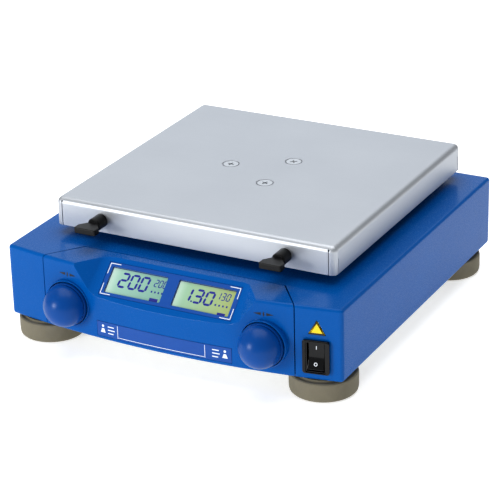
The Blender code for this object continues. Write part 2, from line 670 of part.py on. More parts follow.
def make_guides():
    post_top = 0.0430
    seat = CRANK_RADIUS + GAP
    post = [(0.011, post_top), (0.011, FLANGE_TOP), (0.016, FLANGE_TOP), (0.016, FLOOR)]
    post += [(seat, FLOOR), (seat, post_top)]
    for number, angle in enumerate(GUIDE_ANGLES, 1):
        foot = around(angle, GUIDE_CIRCLE, DRIVE_Y)
        top = around(angle, GUIDE_CIRCLE, PLATFORM_Y)
        turned(f"guide_post_{number}", post, CAST_METAL, at=foot, ring=True, steps=16)
        crank = rod(f"guide_crank_{number}", CRANK_RADIUS, 0.0198, 0.0445, STEEL, at=foot, steps=16)
        web = rod(f"crank_web_{number}", CRANK_WEB_RADIUS, 0.0438, 0.0490, at=foot, steps=16)
        boolean(crank, web, "UNION")
        pin = rod(f"crank_pin_{number}", CRANK_PIN_RADIUS, 0.0485, 0.0640, at=top, steps=16)
        boolean(crank, pin, "UNION")
        ring(f"guide_bearing_{number}", CRANK_PIN_RADIUS + GAP, GUIDE_BEARING_RADIUS, BEARING_SEAT, 0.0640,
             STEEL, at=top, steps=16)


def make_carrier():
    middle = {"at": (0, PLATFORM_Y, 0)}
    span = (CARRIER_LOW, CARRIER_HIGH)
    carrier = rod("carrier_plate", CARRIER_RADIUS, *span, CAST_METAL, **middle, steps=32)
    for number, angle in enumerate(GUIDE_ANGLES, 1):
        low = (0.02, -CARRIER_ARM_HALF, CARRIER_LOW)
        high = (GUIDE_CIRCLE, CARRIER_ARM_HALF, CARRIER_HIGH)
        arm = block(f"carrier_arm_{number}", low, high, turn=(0, 0, math.radians(angle)), **middle)
        boolean(carrier, arm, "UNION")
        spot = around(angle, GUIDE_CIRCLE, PLATFORM_Y)
        boolean(carrier, rod(f"carrier_eye_{number}", CARRIER_EYE_RADIUS, *span, at=spot), "UNION")
        bore = GUIDE_BEARING_RADIUS + GAP
        boolean(carrier, rod(f"carrier_bore_{number}", bore, 0.05, 0.07, at=spot, steps=20))
    boolean(carrier, rod("carrier_middle_bore", BEARING_RADIUS + GAP, 0.05, 0.07, **middle))


def make_hub():
    """The cast hub that carries the tray: a round table on a hollow neck."""
    low = CARRIER_HIGH + GAP
    top = TRAY_TOP - TRAY_SHEET - GAP
    rim, neck, hollow = 0.0925, 0.0895, 0.0820  # heights of the table's rim, neck and hollow
    profile = [(0, top), (HUB_RADIUS, top), (HUB_RADIUS, rim), (HUB_NECK_RADIUS, neck)]
    profile += [(HUB_NECK_RADIUS, low), (HUB_BORE, low), (HUB_BORE, hollow), (0, hollow)]
    hub = turned("table_hub", profile, CAST_METAL, at=(0, PLATFORM_Y, 0))
    boolean(hub, platform_screw_space("hub_screw_space"))


def make_motor():
    place = {"at": (MOTOR_X, MOTOR_Y, 0)}
    inner, shoulder = ROTOR_RADIUS + 0.0006, MOTOR_RADIUS - 0.002
    neck = MOTOR_SHAFT_RADIUS + 0.001
    ceiling, cavity = MOTOR_TOP - MOTOR_WALL, 0.0220
    can = [(neck, MOTOR_TOP), (shoulder, MOTOR_TOP), (MOTOR_RADIUS, MOTOR_TOP - 0.002)]
    can += [(MOTOR_RADIUS, FLOOR), (0, FLOOR), (0, cavity), (inner, cavity)]
    can += [(inner, ceiling), (neck, ceiling)]
    turned("motor_can", can, BLACK_PLASTIC, ring=True, **place)
    low, high, tip = 0.0230, 0.0350, 0.0510
    rotor = [(0, tip), (MOTOR_SHAFT_RADIUS, tip), (MOTOR_SHAFT_RADIUS, high), (ROTOR_RADIUS, high)]
    rotor += [(ROTOR_RADIUS, low), (0, low)]
    turned("motor_rotor", rotor, STEEL, **place)
    pulley = pulley_profile(MOTOR_PULLEY_RADIUS, MOTOR_SHAFT_RADIUS + GAP)
    turned("motor_pulley", pulley, CAST_METAL, ring=True, steps=24, **place)


def belt_outline(offset):
    """An open belt's loop round both pulleys, offset from their rims."""
    run = Vector((MOTOR_X, MOTOR_Y - DRIVE_Y))
    heading = math.atan2(run.y, run.x)
    big = DRIVE_PULLEY_RADIUS + offset
    small = MOTOR_PULLEY_RADIUS + offset
    lean = math.acos((big - small) / run.length)
    outline = []
    big_steps, small_steps = 24, 10
    for step in range(big_steps + 1):
        angle = heading + lean + (2 * math.pi - 2 * lean) * step / big_steps
        outline.append((big * math.cos(angle), DRIVE_Y + big * math.sin(angle)))
    for step in range(small_steps + 1):
        angle = heading - lean + 2 * lean * step / small_steps
        outline.append((MOTOR_X + small * math.cos(angle), MOTOR_Y + small * math.sin(angle)))
    return outline


def make_belt():
    belt = prism("drive_belt", belt_outline(GAP + BELT_THICKNESS), BELT_LOW, BELT_HIGH, BELT_RUBBER)
    boolean(belt, prism("belt_inside", belt_outline(GAP), BELT_LOW - 0.002, BELT_HIGH + 0.002))


def make_electronics():
    for name, (low, high) in BOARDS.items():
        block(name, (*low, BOARD_LOW), (*high, BOARD_LOW + BOARD_THICKNESS), BOARD_GREEN)
    low, high = TRANSFORMER
    foot = BOARD_LOW + BOARD_THICKNESS + GAP
    transformer = block("transformer", (*low, foot), (*high, TRANSFORMER_TOP), BLACK_PLASTIC)
    bevel_edges(transformer, 0.002, 2)


def platform_screw_space(name):
    """The clearance of the three countersunk screws through the tray and into the hub."""
    bore = SCREW_RADIUS + SCREW_CLEARANCE
    bottom = 0.0845
    profile = [(0, TRAY_TOP + 0.001), (SCREW_HEAD_RADIUS + 0.0014, TRAY_TOP + 0.001)]
    profile += [(bore, TRAY_TOP - SCREW_SINK + 0.0002), (bore, bottom), (0, bottom)]
    space = turned(name, profile, steps=16)
    repeated(space, [around(angle, SCREW_CIRCLE, PLATFORM_Y) for angle in SCREW_ANGLES])
    return space


def make_platform():
    half_width, half_depth = TRAY_WIDTH / 2, TRAY_DEPTH / 2
    bm = block_bmesh((-half_width, -half_depth, TRAY_LOW), (half_width, half_depth, TRAY_TOP))
    under = [face for face in bm.faces if face.normal.z < -0.5]
    bmesh.ops.delete(bm, geom=under, context="FACES_ONLY")
    folds = [edge for edge in bm.edges if not edge.is_boundary]
    bmesh.ops.bevel(bm, geom=folds, offset=TRAY_ROUNDING, offset_type="OFFSET", segments=3, profile=0.5,
                    affect="EDGES")
    tray = add_object("platform_tray", mesh_from(bm, "platform_tray"), TRAY_METAL, at=(0, PLATFORM_Y, 0))
    solidify = tray.modifiers.new("sheet", "SOLIDIFY")
    solidify.thickness = TRAY_SHEET
    solidify.offset = -1
    boolean(tray, platform_screw_space("tray_screw_space"))
    holes = rod("lock_holes", 0.0032, -0.004, 0.004, at=(0, TRAY_FRONT, LOCK_Z), turn=FACING_USER, steps=16)
    repeated(holes, [(side * LOCK_X, 0, 0) for side in (-1, 1)])
    boolean(tray, holes)
    head = TRAY_TOP - 0.0001
    tip = 0.0850
    profile = [(0, head), (SCREW_HEAD_RADIUS, head), (SCREW_RADIUS, TRAY_TOP - SCREW_SINK)]
    profile += [(SCREW_RADIUS, tip), (0, tip)]
    for number, angle in enumerate(SCREW_ANGLES, 1):
        spot = around(angle, SCREW_CIRCLE, PLATFORM_Y)
        turned(f"platform_screw_{number}", profile, STEEL, at=spot, steps=20)


def make_lock_knobs():
    """Two quarter-turn clamping knobs: a round hub and a flat paddle outside, a cam inside the flange."""
    for side, word in ((-1, "left"), (1, "right")):
        place = {"at": (side * LOCK_X, TRAY_FRONT, LOCK_Z), "turn": FACING_USER}
        knob = rod("lock_knob_" + word, LOCK_HUB_RADIUS, GAP, LOCK_HUB_LENGTH, BLACK_PLASTIC, **place,
                   steps=16)
        waist, start = LOCK_WAIST
        outline = [(-waist, -start), (waist, -start), (LOCK_HALF, -LOCK_SHOULDER), (LOCK_HALF, -LOCK_REACH)]
        outline += [(-LOCK_HALF, -LOCK_REACH), (-LOCK_HALF, -LOCK_SHOULDER)]
        paddle = prism(word + "_paddle", outline, -LOCK_PADDLE_HALF, LOCK_PADDLE_HALF, at=place["at"])
        boolean(knob, paddle, "UNION")
        boolean(knob, rod(word + "_lock_bore", CAM_RADIUS + GAP, -0.002, 0.0070, **place, steps=16))
        cam = rod("lock_cam_" + word, CAM_RADIUS, -0.0060, 0.0065, STEEL, **place, steps=16)
        boolean(cam, plate(word + "_cam_bar", (0, 0), CAM_BAR, CAM_BAR_DEPTHS, **place), "UNION")


make_housing_shell()
make_front_panel()
make_base()
make_feet()
make_display()
make_knobs()
make_switch()
make_inlet()
make_main_shaft()
make_guides()
make_carrier()
make_hub()
make_motor()
make_belt()
make_electronics()
make_platform()
make_lock_knobs()
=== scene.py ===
"""Benchtop orbital shaker, its looks: a flat metal platform over a bowed blue case with two displays.

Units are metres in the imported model's frame: +Z is up, -Y faces the user and z = 0 is the bench.
"""

import json
import math

import bmesh
import bpy
from mathutils import Matrix, Vector


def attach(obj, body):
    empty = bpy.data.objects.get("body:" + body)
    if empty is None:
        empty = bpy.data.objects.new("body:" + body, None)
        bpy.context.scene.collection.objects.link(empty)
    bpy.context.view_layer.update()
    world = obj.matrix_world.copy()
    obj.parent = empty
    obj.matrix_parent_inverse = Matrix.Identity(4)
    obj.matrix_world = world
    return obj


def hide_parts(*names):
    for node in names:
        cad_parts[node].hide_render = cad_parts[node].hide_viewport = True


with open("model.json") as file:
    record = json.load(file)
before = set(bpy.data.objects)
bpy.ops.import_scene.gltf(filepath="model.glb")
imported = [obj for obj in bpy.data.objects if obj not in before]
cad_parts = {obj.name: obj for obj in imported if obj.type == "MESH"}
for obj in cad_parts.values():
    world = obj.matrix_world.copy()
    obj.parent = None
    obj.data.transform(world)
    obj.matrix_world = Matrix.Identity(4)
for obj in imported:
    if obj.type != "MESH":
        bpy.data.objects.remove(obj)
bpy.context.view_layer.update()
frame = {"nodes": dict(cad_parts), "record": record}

# -------- sizes, as the solids have them

GAP = 0.0003
WALL = 0.003
# How near points are that get welded, how far a cutter runs past its wall, and how high prints stand.
WELD = 0.000001
CLEAR = 0.01
INK = 0.00005
FINE_INK = 0.00004
CASE_HALF = 0.135
CASE_FRONT = -0.120
CASE_REAR = 0.148
CASE_LOW = 0.0165
CASE_TOP = 0.0717
FRONT_BOW = 0.013
FRONT_RADIUS = (CASE_HALF**2 + FRONT_BOW**2) / (2 * FRONT_BOW)
FRONT_CENTRE_Y = CASE_FRONT - FRONT_BOW + FRONT_RADIUS
CASE_ROUNDING = 0.0025
PANEL_HALF = 0.101
PANEL_FRONT_Y = -0.1257
PANEL_BACK_HALF = 0.081
PANEL_BACK_Y = -0.0998
POCKET_BOTTOM_Z = 0.0479
POCKET_BACK_Y = -0.107
POCKET_BOTTOM_HALF = 0.057
POCKET_TOP_HALF = 0.074
POCKET_FRONT_Y = CASE_FRONT - FRONT_BOW
POCKET_ROUNDING = 0.006
RIM_ROUNDING = 0.0009
PANEL_SLIT = 0.0002
PANEL_GAP = 0.0006
DISPLAY_TILT = math.atan2(CASE_TOP - POCKET_BOTTOM_Z, POCKET_BACK_Y - POCKET_FRONT_Y)
FOIL_HALF = 0.0535
FOIL_SPAN = (0.0053, 0.0312)
WINDOW_SPAN = (0.0078, 0.0281)
WINDOW_X = (0.0046, 0.0501)
WINDOW_ROUNDING = 0.0008
FOIL_RECESS = 0.0008
FOIL_THICKNESS = 0.0005
LCD_DEPTH = 0.0011
LCD_THICKNESS = 0.0028
KNOB_X = 0.0791
KNOB_Z = 0.0397
KNOB_CENTRE_Y = -0.1345
KNOB_RADIUS = 0.0157
KNOB_SKIRT_RADIUS = 0.0162
COLLAR_RADIUS = 0.0178
COLLAR_BORE = 0.0168
COLLAR_OVERLAP = 0.0006
COLLAR_FRONT_Y = -0.1312
COLLAR_FLOOR_Y = -0.1282
SHAFT_RADIUS = 0.003
SHAFT_CLEARANCE = 0.0008
STRIP_HALF = 0.0545
STRIP_LOW = 0.0199
STRIP_HIGH = 0.0313
STRIP_RECESS = 0.0006
STRIP_PROUD = 0.0001
SWITCH_X = 0.1166
SWITCH_Z = 0.0350
SWITCH_BEZEL = (0.0196, 0.0254)
SWITCH_BODY = (0.0170, 0.0232)
SWITCH_OPENING = (0.0128, 0.0216)
SWITCH_RECESS = (0.0148, 0.0234)
SWITCH_PROUD = 0.0028
BLADE_X = 0.005
ROCKER_WIDTH = 0.0118
ROCKER_HALF = 0.0098
ROCKER_TILT = math.radians(10)
ROCKER_PIVOT_DEPTH = 0.002
ROCKER_MIDDLE = 0.0003
INLET_X = 0.070
INLET_Z = 0.044
INLET_FLANGE = (0.050, 0.0225)
INLET_BODY = (0.0272, 0.0196)
INLET_CAVITY = (0.0240, 0.0164)
INLET_PROUD = 0.0022
INLET_PIN = (0.0020, 0.0040)
INLET_PIN_PLACES = ((-0.007, 0.0015), (0, -0.0025), (0.007, 0.0015))
INLET_SCREW_X = 0.020
PLATFORM_Y = 0.0258
DRIVE_Y = 0.0238
OPENING_RADIUS = 0.0375
LIP_FLAT = 0.0018
TRAY_WIDTH = 0.227
TRAY_DEPTH = 0.224
TRAY_LOW = 0.0789
TRAY_TOP = 0.1001
TRAY_SHEET = 0.0015
TRAY_ROUNDING = 0.0045
TRAY_FRONT = PLATFORM_Y - TRAY_DEPTH / 2
SCREW_CIRCLE = 0.0275
SCREW_ANGLES = (-60, 60, 180)
SCREW_RADIUS = 0.0025
SCREW_HEAD_RADIUS = 0.0059
LOCK_X = 0.07475
LOCK_Z = 0.0883
LOCK_REACH = 0.0240
LOCK_HALF = 0.0088
LOCK_HUB_RADIUS = 0.0052
LOCK_WAIST_HALF = 0.0042
LOCK_PADDLE_HALF = 0.0023
FOOT_X = 0.1116
FOOT_ROWS = {"front": -0.1021, "rear": 0.1212}
FOOT_RADIUS = 0.02465
FOOT_NECK_RADIUS = 0.021
BOSS_X = 0.1275
BOSS_ROWS = (-0.070, 0.030, 0.128)
SIDES = ((-1, "left"), (1, "right"))
ROUND_STEPS = 64

# -------- camera and lights

CAMERA_PLACE = (0.68648, -1.27703, 0.67799)
CAMERA_AZIMUTH = math.radians(28.23)
CAMERA_ELEVATION = math.radians(23.62)
CAMERA_ROLL = math.radians(-1.45)
CAMERA_LENS_MM = 151.31


def set_camera():
    level = math.cos(CAMERA_ELEVATION)
    ahead = Vector((-math.sin(CAMERA_AZIMUTH) * level, math.cos(CAMERA_AZIMUTH) * level,
                    -math.sin(CAMERA_ELEVATION)))
    right = Vector((math.cos(CAMERA_AZIMUTH), math.sin(CAMERA_AZIMUTH), 0))
    up = right.cross(ahead)
    across = right * math.cos(CAMERA_ROLL) + up * math.sin(CAMERA_ROLL)
    upright = up * math.cos(CAMERA_ROLL) - right * math.sin(CAMERA_ROLL)
    data = bpy.data.cameras.new("camera")
    data.lens = CAMERA_LENS_MM
    data.sensor_width = 36
    data.clip_start = 0.01
    camera = bpy.data.objects.new("camera", data)
    turn = Matrix((across, upright, -ahead)).transposed().to_4x4()
    camera.matrix_world = at(*CAMERA_PLACE) @ turn
    bpy.context.collection.objects.link(camera)
    bpy.context.scene.camera = camera


def add_softbox(name, place, aim, size, power, colour=(1, 1, 1)):
    data = bpy.data.lights.new(name, "AREA")
    data.shape = "RECTANGLE"
    data.size, data.size_y = size
    data.energy = power
    data.color = colour
    light = bpy.data.objects.new(name, data)
    light.location = place
    light.rotation_euler = (Vector(aim) - Vector(place)).to_track_quat("-Z", "Y").to_euler()
    bpy.context.collection.objects.link(light)


def set_studio():
    world = bpy.data.worlds.new("studio")
    bpy.context.scene.world = world
    world.use_nodes = True
    background = world.node_tree.nodes["Background"].inputs
    background["Color"].default_value = (0.97, 0.985, 1.0, 1.0)
    background["Strength"].default_value = 0.34
    add_softbox("overhead", (-0.1, 0.2, 1.6), (0, 0, 0), (1.6, 1.6), 15)
    add_softbox("key", (-0.9, -1.7, 0.5), (0, 0, 0.04), (0.5, 0.5), 15)
    add_softbox("rear_card", (-1.3, 2.4, 1.1), (0, 0, 0.08), (3.2, 1.8), 13, (0.88, 0.93, 1.0))
    bpy.context.scene.view_settings.view_transform = "Standard"
    bpy.context.scene.view_settings.look = "Medium High Contrast"


# -------- materials


def srgb(hex_colour):
    """An sRGB hex colour as the linear values that a shader takes."""
    channels = [int(hex_colour[i : i + 2], 16) / 255 for i in (0, 2, 4)]
    linear = [c / 12.92 if c <= 0.04045 else ((c + 0.055) / 1.055) ** 2.4 for c in channels]
    return (*linear, 1.0)


def add_node(tree, kind, values=None, links=None, **settings):
    """One node: its settings, the values on its own sockets, and what feeds its other sockets."""
    made = tree.nodes.new(kind)
    for key, value in settings.items():
        setattr(made, key, value)
    for socket, value in (values or {}).items():
        made.inputs[socket].default_value = value
    for socket, source in (links or {}).items():
        tree.links.new(source, made.inputs[socket])
    return made


def new_finish(name, roughness, metallic=0.0, **sockets):
    """A material whose shader holds its constants, with the object's own coordinates at hand."""
    material = bpy.data.materials.new(name)
    material.use_nodes = True
    tree = material.node_tree
    shader = tree.nodes["Principled BSDF"]
    shader.inputs["Roughness"].default_value = roughness
    shader.inputs["Metallic"].default_value = metallic
    for socket, value in sockets.items():
        shader.inputs[socket.replace("_", " ")].default_value = value
    place = add_node(tree, "ShaderNodeTexCoord").outputs["Object"]
    return material, tree, shader, place


def mottled(name, dark, light, cloud_mm, grain_mm, depth_mm, roughness, swing=0.04, stretch=(1, 1, 1),
            metallic=0.0, **sockets):
    """A surface with broad clouds of tone between two colours and a fine grain that the light catches."""
    material, tree, shader, place = new_finish(name, roughness, metallic, **sockets)
    clouds = add_node(tree, "ShaderNodeTexNoise", {"Scale": 1000 / cloud_mm, "Detail": 3.0},
                      {"Vector": place})
    tone = add_node(tree, "ShaderNodeMix", {6: srgb(dark), 7: srgb(light)},
                    {0: clouds.outputs["Fac"]}, data_type="RGBA")
    tree.links.new(tone.outputs[2], shader.inputs["Base Color"])
    laid = add_node(tree, "ShaderNodeMapping", {"Scale": stretch}, {"Vector": place})
    grain = add_node(tree, "ShaderNodeTexNoise", {"Scale": 1000 / grain_mm, "Detail": 2.0},
                     {"Vector": laid.outputs["Vector"]})
    gloss = add_node(tree, "ShaderNodeMapRange",
                     {"To Min": roughness - swing, "To Max": roughness + swing},
                     {"Value": grain.outputs["Fac"]})
    tree.links.new(gloss.outputs["Result"], shader.inputs["Roughness"])
    relief = add_node(tree, "ShaderNodeBump", {"Strength": 1.0, "Distance": depth_mm / 1000},
                      {"Height": grain.outputs["Fac"]})
    tree.links.new(relief.outputs["Normal"], shader.inputs["Normal"])
    return material


def window_glass(name, side, near, far):
    """Liquid-crystal glass: green at the left, yellower to the right, with a painted glare along the left
    edge.
    """
    material, tree, shader, place = new_finish(name, 0.22, IOR=1.5, Coat_Weight=0.4, Coat_Roughness=0.05)
    middle = side * sum(WINDOW_X) / 2
    half = (WINDOW_X[1] - WINDOW_X[0]) / 2
    left = middle - half
    apart = add_node(tree, "ShaderNodeSeparateXYZ", links={"Vector": place})
    across = add_node(tree, "ShaderNodeMapRange", {"From Min": left, "From Max": middle + half},
                      {"Value": apart.outputs["X"]})
    glass = add_node(tree, "ShaderNodeMix", {6: srgb(near), 7: srgb(far)},
                     {0: across.outputs["Result"]}, data_type="RGBA")
    # Painted glare: the glass at the window's left edge is mixed a third of the way towards pale green,
    # fading out within a fifth of the window's width.
    edge = add_node(tree, "ShaderNodeMapRange",
                    {"From Min": left, "From Max": middle - 0.62 * half, "To Min": 0.35, "To Max": 0.0},
                    {"Value": apart.outputs["X"]}, interpolation_type="SMOOTHSTEP")
    tone = add_node(tree, "ShaderNodeMix", {7: srgb("E9F4EA")},
                    {0: edge.outputs["Result"], 6: glass.outputs[2]}, data_type="RGBA")
    tree.links.new(tone.outputs[2], shader.inputs["Base Color"])
    # The electrode grid is about 0.1 mm in the real glass, drawn here at 0.6 mm so that it shows.
    grid = add_node(tree, "ShaderNodeTexNoise", {"Scale": 1000 / 0.6, "Detail": 1.0}, {"Vector": place})
    relief = add_node(tree, "ShaderNodeBump", {"Strength": 0.3, "Distance": 0.00001},
                      {"Height": grid.outputs["Fac"]})
    tree.links.new(relief.outputs["Normal"], shader.inputs["Normal"])
    return material


# Injection-moulded ABS, self-coloured, from a spark-eroded mould: satin under a thin glossy skin, which
# draws a bright line along the edges. The texture is about 0.1 mm, drawn at 0.7 mm so that it shows.
MOULDED_ABS = mottled("moulded_abs_blue", "0055A0", "005DAA", 60, 0.7, 0.0018, 0.27, 0.03, IOR=1.53,
                      Specular_IOR_Level=0.06, Coat_Weight=0.16, Coat_Roughness=0.12)
# The same ABS from a polished mould, dyed deeper: even, with one soft highlight on each dome.
KNOB_ABS = mottled("polished_abs_deep_blue", "04468E", "084E98", 20, 0.9, 0.004, 0.30, 0.03, IOR=1.53,
                   Specular_IOR_Level=0.2)
# Reverse-printed polyester foil with a velvet face: even violet blue, a dull sheen.
POLYESTER_FOIL = mottled("printed_polyester_foil", "124C9C", "1854A4", 30, 0.5, 0.004, 0.42, 0.03, IOR=1.57,
                        Specular_IOR_Level=0.25)
# Screen-printed white epoxy ink: opaque and slightly chalky.
WHITE_INK = mottled("screen_printed_white_ink", "E4EAF2", "F2F5F9", 3, 0.4, 0.003, 0.55, 0.03, IOR=1.5)
# Screen-printed black ink of the same kind.
BLACK_INK = mottled("screen_printed_black_ink", "12141A", "1B1E26", 3, 0.4, 0.003, 0.5, 0.03, IOR=1.5)
# Switched liquid crystal seen through its polariser: dense indigo, as smooth as the glass over it. The same
# ink paints the shadow strips along each window's top and left edges.
SEGMENT_INK = mottled("liquid_crystal_segment", "2A2E86", "343A96", 4, 0.6, 0.001, 0.25, 0.02, IOR=1.5)
# Compression-moulded natural rubber: warm grey, dusty and matt, with a fine leathery skin.
MOULDED_RUBBER = mottled("moulded_rubber_warm_grey", "6F6A5A", "807A68", 9, 0.8, 0.05, 0.78, 0.06, IOR=1.52)
# Glass-filled nylon, moulded black: matt, with the fibres' faint speckle.
BLACK_NYLON = mottled("moulded_nylon_black", "08080A", "0E0F11", 6, 0.6, 0.012, 0.38, 0.06, IOR=1.53,
                      Specular_IOR_Level=0.25)
# Polycarbonate from a polished mould, black: glossy, with sharp reflections.
GLOSSY_BLACK = mottled("polished_polycarbonate_black", "08090A", "0E0F11", 10, 1.2, 0.002, 0.18, 0.03,
                       IOR=1.58, Specular_IOR_Level=0.2, Coat_Weight=0.2, Coat_Roughness=0.04)
# Rolled aluminium sheet, etched and clear anodised: a soft silver with rolling lines 0.2 mm apart,
# drawn 0.8 mm apart so that they show, long in the rolling direction.
ANODISED_SHEET = mottled("anodised_aluminium_sheet", "B8BCC2", "C2C6CB", 70, 0.8, 0.003, 0.46, 0.05,
                         (0.03, 1, 1), metallic=0.85)
# Turned and polished stainless steel: bright, with fine concentric tool marks read as a soft blur.
STAINLESS = mottled("turned_stainless_steel", "B9BCC0", "C8CBCE", 3, 0.4, 0.003, 0.24, 0.05, metallic=1.0)
# Zinc-plated steel sheet: grey with a faint bluish and yellowish bloom.
ZINC_SHEET = mottled("zinc_plated_steel", "A5ABB3", "B9B8AC", 14, 1.0, 0.006, 0.38, 0.07, metallic=1.0)
# Sand-cast aluminium: dull and pitted, the grains about 0.5 mm.
CAST_ALUMINIUM = mottled("sand_cast_aluminium", "8E9296", "A4A7AA", 12, 0.5, 0.06, 0.55, 0.08, metallic=1.0)
# Baked black enamel on the motor's can: smooth, with a low orange peel 2 mm across.
BLACK_ENAMEL = mottled("baked_enamel_black", "121315", "191A1C", 15, 2.0, 0.010, 0.25, 0.03, IOR=1.5)
# Vulcanised neoprene belt with a cloth-marked back: matt black.
NEOPRENE = mottled("vulcanised_neoprene", "161617", "212122", 5, 0.7, 0.03, 0.72, 0.06, IOR=1.52)
# Solder resist over glass-epoxy board: even green with the tracks' faint relief, about 1 mm wide.
SOLDER_RESIST = mottled("solder_resist_green", "1A5636", "236843", 6, 1.0, 0.02, 0.35, 0.05, IOR=1.52)
# Calendered vinyl film, yellow: smooth and slightly glossy.
YELLOW_VINYL = mottled("calendered_vinyl_yellow", "F0D000", "F6DA10", 5, 0.8, 0.003, 0.32, 0.03, IOR=1.53)
# Nickel-plated brass contacts: bright and warm.
NICKEL_BRASS = mottled("nickel_plated_brass", "C4BDAA", "D2CBB8", 3, 0.5, 0.002, 0.25, 0.04, metallic=1.0)
# Liquid-crystal glass over a reflector: smooth and green, and yellower on the right, with a painted glare
# along the left edge.
LCD_GLASS = {"left": window_glass("liquid_crystal_glass_left", -1, "A5CDBB", "82AE9E"),
             "right": window_glass("liquid_crystal_glass_right", 1, "9CC6AC", "A6B574")}

# -------- modelling by hand, in code


def deselect():
    bpy.ops.object.select_all(action="DESELECT")


def pick(obj):
    """Makes one object the only selected one, and the active one."""
    deselect()
    obj.hide_set(False)
    obj.select_set(True)
    bpy.context.view_layer.objects.active = obj


def edit(obj, mode="FACE"):
    pick(obj)
    bpy.ops.object.mode_set(mode="EDIT")
    bpy.ops.mesh.select_mode(type=mode)


def done():
    bpy.ops.object.mode_set(mode="OBJECT")
    return bpy.context.view_layer.objects.active


def select(obj, test, kind="FACE"):
    """Selects only the faces, edges or vertices that pass the test, in edit mode."""
    bpy.ops.mesh.select_mode(type=kind)
    bpy.ops.mesh.select_all(action="DESELECT")
    bm = bmesh.from_edit_mesh(obj.data)
    items = {"FACE": bm.faces, "EDGE": bm.edges, "VERT": bm.verts}[kind]
    for item in items:
        if test(item):
            item.select_set(True)
    bm.select_flush_mode()
    bmesh.update_edit_mesh(obj.data)


def select_everything():
    bpy.ops.mesh.select_all(action="SELECT")


def middle_of(edge):
    return (edge.verts[0].co + edge.verts[1].co) / 2


def is_upright(edge):
    return abs(edge.verts[0].co.z - edge.verts[1].co.z) > INK / 2


def span(side, near, far):
    """A range on one side of the middle, as low and high."""
    return sorted((side * near, side * far))


def push(x=0.0, y=0.0, z=0.0):
    """Extrudes what is selected by this much."""
    bpy.ops.mesh.extrude_region_move(TRANSFORM_OT_translate={"value": (x, y, z)})


def shrink(x=1.0, y=1.0, z=1.0, about=(0, 0, 0)):
    bpy.ops.transform.resize(value=(x, y, z), center_override=about)


def bevel(width, segments, **settings):
    bpy.ops.mesh.bevel(offset=width, segments=segments, **settings)


def new_block(name, low, high):
    """A box between two corners, which later steps shape."""
    low, high = Vector(low), Vector(high)
    deselect()
    bpy.ops.mesh.primitive_cube_add(size=1, location=(low + high) / 2)
    obj = bpy.context.active_object
    obj.name = name
    obj.scale = high - low
    bpy.ops.object.transform_apply(location=True, rotation=True, scale=True)
    return obj


def new_centred(name, size, low, high, grow=0.0):
    """A box centred on the Z axis, of this width and height, grown sideways by grow."""
    half_x, half_y = size[0] / 2 + grow, size[1] / 2 + grow
    return new_block(name, (-half_x, -half_y, low), (half_x, half_y, high))


def new_turned(name, profile, steps=ROUND_STEPS, closed=False):
    """A disc drawn out ring by ring along a profile of (radius, height), or a closed ring round a hole."""
    deselect()
    radius, height = profile[0]
    fill = "NOTHING" if closed else "NGON"
    bpy.ops.mesh.primitive_circle_add(vertices=steps, radius=radius, fill_type=fill)
    obj = bpy.context.active_object
    obj.name = name
    edit(obj, "EDGE" if closed else "FACE")
    select_everything()
    bpy.ops.transform.translate(value=(0, 0, height))
    for next_radius, next_height in profile[1:] + (profile[:1] if closed else []):
        push(z=next_height - height)
        shrink(next_radius / radius, next_radius / radius, about=(0, 0, next_height))
        radius, height = next_radius, next_height
    select_everything()
    if closed:
        bpy.ops.mesh.remove_doubles(threshold=WELD)
    bpy.ops.mesh.normals_make_consistent(inside=False)
    return done()


def round_corners(obj, radius, segments):
    """Rounds the four upright edges of a block."""
    edit(obj)
    select(obj, is_upright, "EDGE")
    bevel(radius, segments)
    return done()


def apply_modifier(obj, kind, **settings):
    pick(obj)
    modifier = obj.modifiers.new(kind.lower(), kind)
    for key, value in settings.items():
        setattr(modifier, key, value)
    bpy.ops.object.modifier_apply(modifier=modifier.name)
    return obj


def soften(obj, width, segments=3, angle=40):
    return apply_modifier(obj, "BEVEL", width=width, segments=segments, limit_method="ANGLE",
                          angle_limit=math.radians(angle), miter_outer="MITER_ARC")


def carve(obj, *cutters, operation="DIFFERENCE"):
    for cutter in cutters:
        apply_modifier(obj, "BOOLEAN", operation=operation, object=cutter, solver="EXACT")
        bpy.data.objects.remove(cutter)
    return obj


def add_copy(obj, name, matrix=Matrix()):
    """A copy with its own mesh, moved there."""
    copy = obj.copy()
    copy.data = obj.data.copy()
    copy.name = name
    copy.data.transform(matrix)
    bpy.context.collection.objects.link(copy)
    return copy


def at(x, y, z):
    return Matrix.Translation((x, y, z))


def moved(obj, matrix):
    obj.data.transform(matrix)
    return obj


def joined(name, objs):
    deselect()
    for obj in objs:
        obj.select_set(True)
    bpy.context.view_layer.objects.active = objs[0]
    if len(objs) > 1:
        bpy.ops.object.join()
    objs[0].name = name
    objs[0].data.name = name
    return objs[0]


def settle(obj, name, material, body, matrix=Matrix(), angle=35, nodes=()):
    """Puts a finished piece in its place, smooths it, gives it its material and its body."""
    obj.name = obj.data.name = name
    obj.data.transform(matrix)
    edit(obj)
    select_everything()
    bpy.ops.mesh.remove_doubles(threshold=WELD)
    bpy.ops.mesh.normals_make_consistent(inside=False)
    done()
    if material:
        obj.data.materials.clear()
        obj.data.materials.append(material)
    bpy.ops.object.shade_smooth_by_angle(angle=math.radians(angle))
    apply_modifier(obj, "WEIGHTED_NORMAL", keep_sharp=True)
    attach(obj, body)
    if nodes:
        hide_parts(*nodes)
    return obj


# -------- places on the object


def front_y(x, inset=0.0):
    radius = FRONT_RADIUS - inset
    return FRONT_CENTRE_Y - math.sqrt(radius**2 - x**2)


def on_front(x, z, proud=0.0):
    """A frame square to the bowed front: X across, Y up, Z out of it."""
    turn = Matrix.Rotation(math.asin(x / FRONT_RADIUS), 4, "Z") @ Matrix.Rotation(math.pi / 2, 4, "X")
    return at(x, front_y(x), z) @ turn @ at(0, 0, proud)


def facing_user(x, y, z):
    return at(x, y, z) @ Matrix.Rotation(math.pi / 2, 4, "X")


